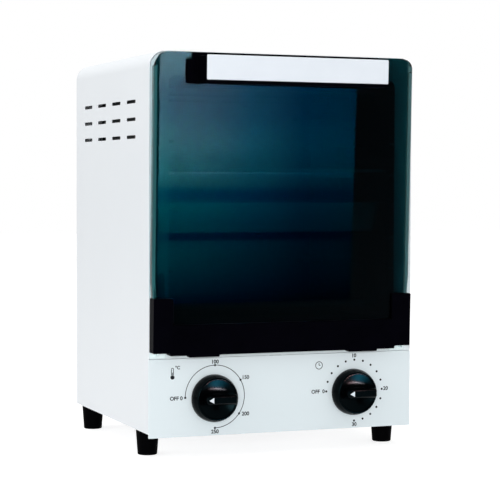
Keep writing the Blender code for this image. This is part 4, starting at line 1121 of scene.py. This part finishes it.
@dataclass
class Print:
    """The dark print on the control panel: scale numbers, a ring, dots and two small icons.

    The timer's OFF has two spaces before its 0, which gives the piece a name of its own.
    """

    lift: float = 0.00006
    font: float = 0.0046
    weight: float = 0.00014
    ring: float = 0.0275
    line: float = 0.0006
    dot: float = 0.0010
    scale: dict[str, Span] = field(default_factory=lambda: {
        "100": (0.0606, 0.0643), "150": (0.0892, 0.0497), "200": (0.0893, 0.0176), "250": (0.0607, 0.0032),
        "10": (0.1938, 0.0652), "20": (0.2256, 0.0344), "30": (0.1945, 0.0031),
        "OFF 0": (0.0250, 0.0336), "OFF  0": (0.1588, 0.0340),
    })
    degree: Span = (0.0262, 0.0603)
    degree_size: float = 0.85
    ring_middle: Span = (0.0607, 0.034)
    dots_middle: Span = (0.1943, 0.034)
    ring_turn: Span = (-90, 270)
    marks: tuple[float, ...] = (180, 90, 30, -35, -90)
    dots: int = 16
    dots_turn: float = 18.0
    dot_steps: int = 16
    dash_steps: int = 3
    arc_step: float = 5.0
    thermometer: Span = (0.0215, 0.0522)
    bulb: float = 0.0016
    bulb_turn: Span = (125, 290)
    bulb_core: float = 0.0014
    stem: float = 0.0011 / 1.2
    stem_half: float = 0.0028
    stem_middle: float = 0.0042
    stem_top: float = 0.0070
    core_half: float = 0.0020
    core_middle: float = 0.0022
    clock: Span = (0.1596, 0.0576)
    clock_radius: float = 0.0033
    hands: Span = (0.0011, 0.0008)

    def slab(self, outlines: Sequence[Array], name: str, shop: Workshop) -> None:
        """Make flat closed outlines in X and Z into one thin inked piece.

        Args:
            outlines: Points as (x, z), each closed and convex.
            name: The piece's name.
            shop: Where pieces are made.
        """
        low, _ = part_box("control_panel")
        parts = []
        for outline in outlines:
            layers = [np.insert(outline, 1, low[1] - lift, axis=1) for lift in (0.0, self.lift)]
            parts.append((np.stack(layers), ring_faces(2, len(outline))))
        points, faces = gather(parts)
        shop.piece(name, mesh_of(name, points, faces), INK, Body.HOUSING)

    def arc(self, middle: Span, radius: float, start: float, sweep: float) -> list[Array]:
        """Return a ring's short quads: each spans a few degrees between two radii, a line's width apart.

        Args:
            middle: The ring's middle.
            radius: Its radius.
            start: The first angle in degrees, anticlockwise from the right.
            sweep: The angle it covers.

        Returns:
            The quads.
        """
        steps = max(2, int(abs(sweep) / self.arc_step))
        angles = np.radians(start + np.linspace(0, sweep, steps + 1))
        rays = np.stack([np.cos(angles), np.sin(angles)], axis=1)
        inner, outer = rays * (radius - self.line / 2) + middle, rays * (radius + self.line / 2) + middle
        return [np.stack([inner[i], outer[i], outer[i + 1], inner[i + 1]]) for i in range(len(rays) - 1)]

    def disc(self, middle: Span, radius: float) -> Array:
        """Return a dot's outline.

        Args:
            middle: Its middle.
            radius: Its radius.

        Returns:
            Its points.
        """
        angles = np.linspace(0, math.tau, self.dot_steps, endpoint=False)
        return np.stack([np.cos(angles), np.sin(angles)], axis=1) * radius + middle

    def dash(self, middle: Span, half_x: float, half_y: float) -> Array:
        """Return a short line's outline, with round ends.

        Args:
            middle: Its middle.
            half_x: Half its width.
            half_y: Half its height.

        Returns:
            Its points.
        """
        return even_box(half_x, half_y, self.line / 2, self.dash_steps) + middle

    def letters(self, text: str, x: float, z: float, size: float, shop: Workshop) -> None:
        """Print a short generic text, centred on a place of the panel.

        Args:
            text: The text.
            x: The distance from the panel's left edge.
            z: The height over its lower edge.
            size: The font's size.
            shop: Where pieces are made.
        """
        curve = bpy.data.curves.new("text", "FONT")
        curve.body = text
        curve.size = size
        curve.extrude = self.lift / 2
        curve.offset = self.weight
        curve.align_x = "CENTER"
        curve.align_y = "CENTER"
        guide = bpy.data.objects.new("text", curve)
        bpy.context.scene.collection.objects.link(guide)
        bpy.context.view_layer.update()
        graph = bpy.context.evaluated_depsgraph_get()
        mesh = bpy.data.meshes.new_from_object(guide.evaluated_get(graph), depsgraph=graph)
        bpy.data.objects.remove(guide, do_unlink=True)
        low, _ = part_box("control_panel")
        place_x, place_z = on_front(x, z)
        turn = Matrix(((1, 0, 0), (0, 0, -1), (0, 1, 0))).to_4x4()
        mesh.transform(Matrix.Translation((place_x, low[1] - self.lift / 2, place_z)) @ turn)
        name = "print_" + text.replace("°", "degree_").replace(" ", "_").lower()
        shop.piece(name, mesh, INK, Body.HOUSING)

    def build(self, shop: Workshop) -> None:
        """Print the scales and the icons.

        Args:
            shop: Where pieces are made.
        """
        for text, (x, z) in self.scale.items():
            self.letters(text, x, z, self.font, shop)
        self.letters("°C", *self.degree, self.font * self.degree_size, shop)
        left, right = on_front(*self.ring_middle), on_front(*self.dots_middle)
        marks = self.round_dots(left, np.radians(self.marks))
        self.slab(self.arc(left, self.ring, *self.ring_turn) + marks, "temperature_ring", shop)
        dots = self.round_dots(right, np.radians(180 - np.arange(self.dots) * self.dots_turn))
        self.slab(dots, "timer_dots", shop)
        self.icons(shop)

    def round_dots(self, middle: Span, angles: Array) -> list[Array]:
        """Return dots round a dial: each at (middle + ring (cos a, sin a)).

        Args:
            middle: The dial's middle.
            angles: Each dot's angle.

        Returns:
            The dots' outlines.
        """
        places = middle + self.ring * np.stack([np.cos(angles), np.sin(angles)], axis=1)
        return [self.disc(place, self.dot) for place in places]

    def icons(self, shop: Workshop) -> None:
        """Draw the small thermometer and the small clock.

        Args:
            shop: Where pieces are made.
        """
        half = self.line / 2
        x, z = on_front(*self.thermometer)
        bulb = self.arc((x, z), self.bulb, *self.bulb_turn)
        sides = [
            self.dash((x + side * self.stem, z + self.stem_middle), half, self.stem_half) for side in (-1, 1)
        ]
        cap = self.arc((x, z + self.stem_top), self.stem, 0, 180)
        core = self.dash((x, z + self.core_middle), half, self.core_half)
        middle = self.disc((x, z), self.bulb_core)
        self.slab(bulb + sides + cap + [middle, core], "thermometer_icon", shop)
        x, z = on_front(*self.clock)
        long_hand, short_hand = self.hands
        upright = self.dash((x, z + long_hand), half, long_hand)
        level = self.dash((x + short_hand, z), short_hand, half)
        self.slab(self.arc((x, z), self.clock_radius, 0, 360) + [upright, level], "clock_icon", shop)


@dataclass
class Underside:
    """The feet, their screws, the cable bush and the controls behind the panel."""

    foot_edge: float = 0.0012
    foot_taper: float = 0.853
    foot_chamfer: float = 0.0004
    head_gap: float = 0.0003
    screw_hole: float = 0.0024
    counterbore: float = 0.010
    edge_steps: int = 6
    round_steps: int = 64

    def build(self, shop: Workshop) -> None:
        """Turn the feet anew and dress the rest.

        Args:
            shop: Where pieces are made.
        """
        for row in ("front", "rear"):
            for side in ("left", "right"):
                self.build_foot(row + "_" + side, shop)
                shop.dress("foot_screw_" + row + "_" + side, PLATED)
        shop.dress("cable_bush", RUBBER)
        for node in ("thermostat", "timer", "terminal_block"):
            shop.dress(node, CERAMIC)

    def build_foot(self, name: str, shop: Workshop) -> None:
        """Turn one foot: a slight taper down to a rounded lower edge, with a counterbore for its screw.

        Args:
            name: Which foot.
            shop: Where pieces are made.
        """
        low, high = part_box("foot_" + name)
        head_low, head_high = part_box("foot_screw_" + name)
        top_radius = (high[0] - low[0]) / 2
        bottom_radius = top_radius * self.foot_taper
        hole = (head_high[0] - head_low[0]) / 2 + self.head_gap
        quarter = np.linspace(0, math.pi / 2, self.edge_steps)
        height = high[2] - low[2]
        edge, chamfer = self.foot_edge, self.foot_chamfer
        lip_radius = bottom_radius - edge + edge * np.cos(quarter)
        lip = np.stack([lip_radius, edge - edge * np.sin(quarter)], axis=1)
        profile = np.concatenate([
            [[self.screw_hole, height], [top_radius - chamfer, height], [top_radius, height - chamfer]],
            lip, [[hole, 0], [hole, self.counterbore], [self.screw_hole, self.counterbore]],
        ])
        rings = turned(np.concatenate([profile, profile[:1]]), self.round_steps)
        centre = np.array([(low[0] + high[0]) / 2, (low[1] + high[1]) / 2, low[2]])
        mesh = lofted("turned_foot_" + name, rings + centre, capped=False)
        shop.piece(mesh.name, mesh, RUBBER, Body.HOUSING, ["foot_" + name])


# The studio


@dataclass
class Studio:
    """The floor, the lamps, the world and the camera of the photograph's view.

    Each lamp is a name, a place, an aim, a size and a power in watts. The tall card's two lists pair a
    place in metres with a colour, and it glows in their product. A dial card's reach is in X, from the
    dial's middle.
    """

    lens: float = 123.3
    yaw: float = math.radians(21.575)
    pitch: float = math.radians(2.306)
    roll: float = math.radians(0.2)
    eye: Point = (-0.5827, -1.4879, 0.2407)
    soft: float = 0.56
    glow: float = 0.72
    sensor: float = 36.0
    clip: float = 0.01
    floor_reach: float = 6.0
    floor_steps: int = 9
    floor_colour: Colour = (0.60, 0.60, 0.60)
    floor_roughness: float = 0.9
    card_lift: float = 0.001
    card_steps: int = 5
    lamps: tuple[tuple[str, Point, Point, float, float], ...] = (
        ("side", (-2.6, -0.2, 0.9), (0, 0, 0.17), 1.4, 15),
        ("front", (-0.9, -2.5, 0.15), (0, 0, 0.17), 1.2, 52),
        ("top", (-0.2, 0.0, 2.2), (0, 0, 0.2), 1.2, 15),
    )
    card_place: float = -1.095
    card_span: Span = (0.190, 0.523)
    card_height: float = 0.40
    card_strength: float = 92.0
    dish_colour: Colour = (0.15, 0.75, 1.0)
    dish_strength: float = 34.0
    dish_reach: Span = (0.010, 0.072)
    dish_near: Span = (-0.222, -0.165)
    stripe_colour: Colour = (1.0, 0.42, 0.40)
    stripe_strength: float = 400.0
    stripe_reach: Span = (-0.0025, 0.0088)
    stripe_near: Span = (-0.0146, -0.0134)
    stripe_rise: float = 0.0050
    edge_strength: float = 90.0
    edge_reach: Span = (0.110, 0.190)
    edge_near: Span = (-0.210, -0.130)
    edge_level: float = 0.45
    card_across: tuple[tuple[float, Colour], ...] = (
        (0.190, (1.5, 1.3, 1.2)), (0.216, (1.3, 1.2, 1.1)), (0.235, (1.0, 1.0, 1.0)),
        (0.273, (0.85, 0.86, 0.90)), (0.352, (0.12, 0.45, 0.60)), (0.433, (0.0, 0.145, 0.255)),
        (0.523, (0.0, 0.11, 0.17)),
    )
    card_upward: tuple[tuple[float, Colour], ...] = (
        (0.0, (0.0, 0.01, 0.04)), (0.035, (0.0, 0.095, 0.125)), (0.065, (0.0, 0.175, 0.185)),
        (0.0925, (0.0, 0.225, 0.235)), (0.0945, (0.0, 0.06, 0.13)), (0.1050, (0.0, 0.07, 0.15)),
        (0.1065, (0.0, 0.23, 0.25)), (0.1236, (0.0, 0.28, 0.31)), (0.1495, (0.0, 0.50, 0.48)),
        (0.1510, (0.0, 0.24, 0.36)), (0.1715, (0.0, 0.30, 0.42)), (0.1730, (0.12, 0.62, 0.57)),
        (0.1920, (0.24, 0.75, 0.68)), (0.1936, (1.60, 2.50, 2.20)), (0.1952, (0.26, 0.78, 0.70)),
        (0.2118, (0.36, 0.91, 0.82)), (0.2412, (0.84, 1.18, 1.07)), (0.2640, (0.80, 1.05, 1.03)),
        (0.2680, (0.68, 0.88, 0.92)), (0.3000, (0.76, 0.81, 0.88)), (0.3250, (1.0, 0.90, 0.95)),
        (0.3400, (1.5, 1.3, 1.2)), (0.4000, (2.4, 1.9, 1.65)),
    )

    def camera(self) -> None:
        """Put the camera at the photograph's viewpoint, looking back and to the right."""
        level = math.cos(self.pitch)
        ahead = Vector((math.sin(self.yaw) * level, math.cos(self.yaw) * level, -math.sin(self.pitch)))
        right = Vector((math.cos(self.yaw), -math.sin(self.yaw), 0))
        up = right.cross(ahead)
        across = right * math.cos(self.roll) + up * math.sin(self.roll)
        over = up * math.cos(self.roll) - right * math.sin(self.roll)
        data = bpy.data.cameras.new("camera")
        data.lens = self.lens
        data.sensor_width = self.sensor
        data.clip_start = self.clip
        camera = bpy.data.objects.new("camera", data)
        turn = Matrix((across, over, -ahead)).transposed().to_4x4()
        camera.matrix_world = Matrix.Translation(self.eye) @ turn
        bpy.context.scene.collection.objects.link(camera)
        bpy.context.scene.camera = camera

    def lamp(self, name: str, place: Point, aim: Point, size: float, power: float) -> None:
        """Hang one soft square lamp.

        Args:
            name: Its name.
            place: Where it hangs.
            aim: What it points at.
            size: Its side.
            power: Its power in watts.
        """
        data = bpy.data.lights.new(name, "AREA")
        data.size = size
        data.energy = power
        lamp = bpy.data.objects.new(name, data)
        lamp.location = place
        lamp.rotation_euler = (Vector(aim) - Vector(place)).to_track_quat("-Z", "Y").to_euler()
        lamp.visible_camera = False
        bpy.context.scene.collection.objects.link(lamp)

    def shown(self, tree: NodeTree, lit: NodeSocket, seen: NodeSocket) -> NodeSocket:
        """Show one shader to the camera, to gloss and through glass, and another to every other ray.

        Args:
            tree: The node tree of a material or the world.
            lit: The shader that lights the object.
            seen: The shader that is seen.

        Returns:
            The mixed shader's socket.
        """
        path = tree.nodes.new("ShaderNodeLightPath")
        value = path.outputs["Is Camera Ray"]
        for ray in ("Is Glossy Ray", "Is Transmission Ray"):
            either = tree.nodes.new("ShaderNodeMath")
            either.operation = "MAXIMUM"
            tree.links.new(value, either.inputs[0])
            tree.links.new(path.outputs[ray], either.inputs[1])
            value = either.outputs["Value"]
        mix = tree.nodes.new("ShaderNodeMixShader")
        tree.links.new(value, mix.inputs["Fac"])
        tree.links.new(lit, mix.inputs[1])
        tree.links.new(seen, mix.inputs[2])
        return mix.outputs["Shader"]

    def world(self) -> None:
        """Light softly from all round, in front of a white backdrop."""
        world = bpy.data.worlds.new("studio")
        world.use_nodes = True
        tree = world.node_tree
        soft, white = tree.nodes["Background"], tree.nodes.new("ShaderNodeBackground")
        for light, strength in ((soft, self.soft), (white, 1.0)):
            light.inputs["Color"].default_value = (1.0, 1.0, 1.0, 1.0)
            light.inputs["Strength"].default_value = strength
        shown = self.shown(tree, soft.outputs["Background"], white.outputs["Background"])
        tree.links.new(shown, tree.nodes["World Output"].inputs["Surface"])
        bpy.context.scene.world = world

    def floor(self) -> None:
        """Lay the white floor: a wide flat grid that glows as far as its shadow stays visible."""
        steps = self.floor_steps
        span = np.linspace(-self.floor_reach, self.floor_reach, steps)
        x, y = np.meshgrid(span, span)
        points = np.stack([x, y, np.zeros_like(x)], axis=-1)
        mesh = mesh_of("floor", points, grid_faces(steps, steps, closed=False))
        material, shader = new_material("floor")
        tree = material.node_tree
        shader.inputs["Base Color"].default_value = (*self.floor_colour, 1.0)
        shader.inputs["Roughness"].default_value = self.floor_roughness
        shader.inputs["Specular IOR Level"].default_value = 0.0
        glow = tree.nodes.new("ShaderNodeEmission")
        glow.inputs["Color"].default_value = (1.0, 1.0, 1.0, 1.0)
        glow.inputs["Strength"].default_value = self.glow
        both = tree.nodes.new("ShaderNodeAddShader")
        tree.links.new(shader.outputs["BSDF"], both.inputs[0])
        tree.links.new(glow.outputs["Emission"], both.inputs[1])
        seen = self.shown(tree, shader.outputs["BSDF"], both.outputs["Shader"])
        tree.links.new(seen, tree.nodes["Material Output"].inputs["Surface"])
        mesh.materials.append(material)
        floor = bpy.data.objects.new("floor", mesh)
        bpy.context.scene.collection.objects.link(floor)

    def card(self) -> None:
        """Stand a tall glowing card in front, which only the pane mirrors."""
        left, right = self.card_span
        steps = self.card_steps
        x, z = np.meshgrid(np.linspace(left, right, steps), np.linspace(0.0, self.card_height, steps))
        points = np.stack([x, np.full_like(x, self.card_place), z], axis=-1)
        mesh = mesh_of("soft_card", points, grid_faces(steps, steps, closed=False))
        material, axes, glow = self.glowing("soft_card", self.card_strength)
        tree = material.node_tree
        across = self.ramp(tree, axes.outputs["X"], self.card_across)
        upward = self.ramp(tree, axes.outputs["Z"], self.card_upward)
        product = tree.nodes.new("ShaderNodeVectorMath")
        product.operation = "MULTIPLY"
        tree.links.new(across, product.inputs[0])
        tree.links.new(upward, product.inputs[1])
        tree.links.new(product.outputs["Vector"], glow.inputs["Color"])
        self.hang_card(mesh, material, "bent_pane")

    def glowing(self, name: str, strength: float) -> tuple[Material, Node, Node]:
        """Make a card's glowing material, whose colour is still to be linked.

        Args:
            name: The material's name.
            strength: How strongly it glows.

        Returns:
            The material, the node that splits the place into axes, and the node that glows.
        """
        material, shader = new_material(name)
        tree = material.node_tree
        tree.nodes.remove(shader)
        place = tree.nodes.new("ShaderNodeTexCoord")
        axes = tree.nodes.new("ShaderNodeSeparateXYZ")
        tree.links.new(place.outputs["Object"], axes.inputs["Vector"])
        glow = tree.nodes.new("ShaderNodeEmission")
        glow.inputs["Strength"].default_value = strength
        tree.links.new(glow.outputs["Emission"], tree.nodes["Material Output"].inputs["Surface"])
        return material, axes, glow

    def hang_card(self, mesh: Mesh, material: Material, mirror: str) -> None:
        """Put a glowing card in the studio that shows only as gloss, and only on one piece.

        Args:
            mesh: The card's mesh.
            material: Its glowing material.
            mirror: The name of the piece that mirrors it.
        """
        mesh.materials.append(material)
        card = bpy.data.objects.new(mesh.name, mesh)
        card.visible_camera = False
        card.visible_diffuse = False
        card.visible_transmission = False
        card.visible_shadow = False
        lit = bpy.data.collections.new(mesh.name + "_mirrors")
        lit.objects.link(bpy.data.objects[mirror])
        card.light_linking.receiver_collection = lit
        bpy.context.scene.collection.objects.link(card)

    def ramp(
        self, tree: NodeTree, value: NodeSocket, stops: Sequence[tuple[float, Colour]]
    ) -> NodeSocket:
        """Turn a coordinate into a colour along stops.

        Args:
            tree: The material's nodes.
            value: The coordinate.
            stops: Pairs of a coordinate and a colour, in order.

        Returns:
            The colour socket.
        """
        low, high = stops[0][0], stops[-1][0]
        scaled = tree.nodes.new("ShaderNodeMapRange")
        scaled.inputs["From Min"].default_value = low
        scaled.inputs["From Max"].default_value = high
        tree.links.new(value, scaled.inputs["Value"])
        ramp = tree.nodes.new("ShaderNodeValToRGB")
        elements = ramp.color_ramp.elements
        elements.remove(elements[1])
        elements[0].position = 0.0
        elements[0].color = (*stops[0][1], 1.0)
        for place, colour in stops[1:]:
            elements.new((place - low) / (high - low)).color = (*colour, 1.0)
        tree.links.new(scaled.outputs["Result"], ramp.inputs["Fac"])
        return ramp.outputs["Color"]

    def dial_card(
        self, name: str, mirror: str, reach: Span, near: Span, level: float, colour: Colour, strength: float
    ) -> None:
        """Lay a small flat glowing card in the studio that only one piece of a dial mirrors.

        Args:
            name: The card's name.
            mirror: The name of the piece that mirrors it.
            reach: Its ends in X.
            near: Its ends in Y.
            level: Its height.
            colour: Its colour in the middle, which fades to both ends.
            strength: How strongly it glows.
        """
        left, right = reach
        steps = self.card_steps
        x, y = np.meshgrid(np.linspace(left, right, steps), np.linspace(*near, steps))
        points = np.stack([x, y, np.full_like(x, level)], axis=-1)
        mesh = mesh_of(name, points, grid_faces(steps, steps, closed=False))
        material, axes, glow = self.glowing(mesh.name, strength)
        tree = material.node_tree
        dark = (0.0, 0.0, 0.0)
        stops = ((left, dark), ((left + right) / 2, colour), (right, dark))
        tree.links.new(self.ramp(tree, axes.outputs["X"], stops), glow.inputs["Color"])
        self.hang_card(mesh, material, mirror)

    def dial_cards(self, dial: str) -> None:
        """Place one dial's cards: the patch in its dish, the stripe over its blade and the blade's edge.

        Args:
            dial: The dial's name.
        """
        low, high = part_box(dial + "_knob")
        across, up = (low[0] + high[0]) / 2, (low[2] + high[2]) / 2
        skirt, blade = dial + "_skirt", dial + "_blade"
        reaches = (self.dish_reach, self.stripe_reach, self.edge_reach)
        dish, stripe, edge = ((across + reach[0], across + reach[1]) for reach in reaches)
        near = (high[1] + self.stripe_near[0], high[1] + self.stripe_near[1])
        pink = self.stripe_colour
        for name, mirror, reach, span, level, colour, strength in (
            ("dish", skirt, dish, self.dish_near, self.card_lift, self.dish_colour, self.dish_strength),
            ("stripe", skirt, stripe, near, up + self.stripe_rise, pink, self.stripe_strength),
            ("edge", blade, edge, self.edge_near, self.edge_level, pink, self.edge_strength),
        ):
            self.dial_card(f"{dial}_{name}_card", mirror, reach, span, level, colour, strength)

    def build(self) -> None:
        """Set up the studio."""
        self.camera()
        self.world()
        self.floor()
        self.card()
        for dial in ("temperature", "timer"):
            self.dial_cards(dial)
        for name, place, aim, size, power in self.lamps:
            self.lamp(name, place, aim, size, power)
        bpy.context.scene.view_settings.view_transform = "Standard"


def corners(bounds: Sequence[Sequence[float]]) -> list[list[float]]:
    """Return a box as plain lists of numbers.

    Args:
        bounds: The lowest and the highest corner.

    Returns:
        The same as lists.
    """
    return [[float(value) for value in corner] for corner in bounds]


def main() -> None:
    """Build every sub-assembly in order, then the studio."""
    logging.basicConfig(level=logging.INFO, format="%(message)s")
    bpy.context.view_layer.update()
    shop = Workshop()
    Casing().build(shop)
    Chamber().build(shop)
    Door().build(shop)
    Dial("temperature", Body.TEMPERATURE).build(shop)
    Dial("timer", Body.TIMER).build(shop)
    Print().build(shop)
    Underside().build(shop)
    Studio().build()


with open("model.json") as file:
    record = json.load(file)
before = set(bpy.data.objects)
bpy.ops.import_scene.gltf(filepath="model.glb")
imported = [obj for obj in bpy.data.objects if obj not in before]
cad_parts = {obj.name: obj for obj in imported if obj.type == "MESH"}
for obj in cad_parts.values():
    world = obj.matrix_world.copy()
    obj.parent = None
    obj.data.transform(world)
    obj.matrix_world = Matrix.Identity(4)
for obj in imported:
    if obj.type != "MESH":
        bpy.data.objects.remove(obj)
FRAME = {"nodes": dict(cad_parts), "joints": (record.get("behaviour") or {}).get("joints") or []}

if __name__ == "__main__":
    main()
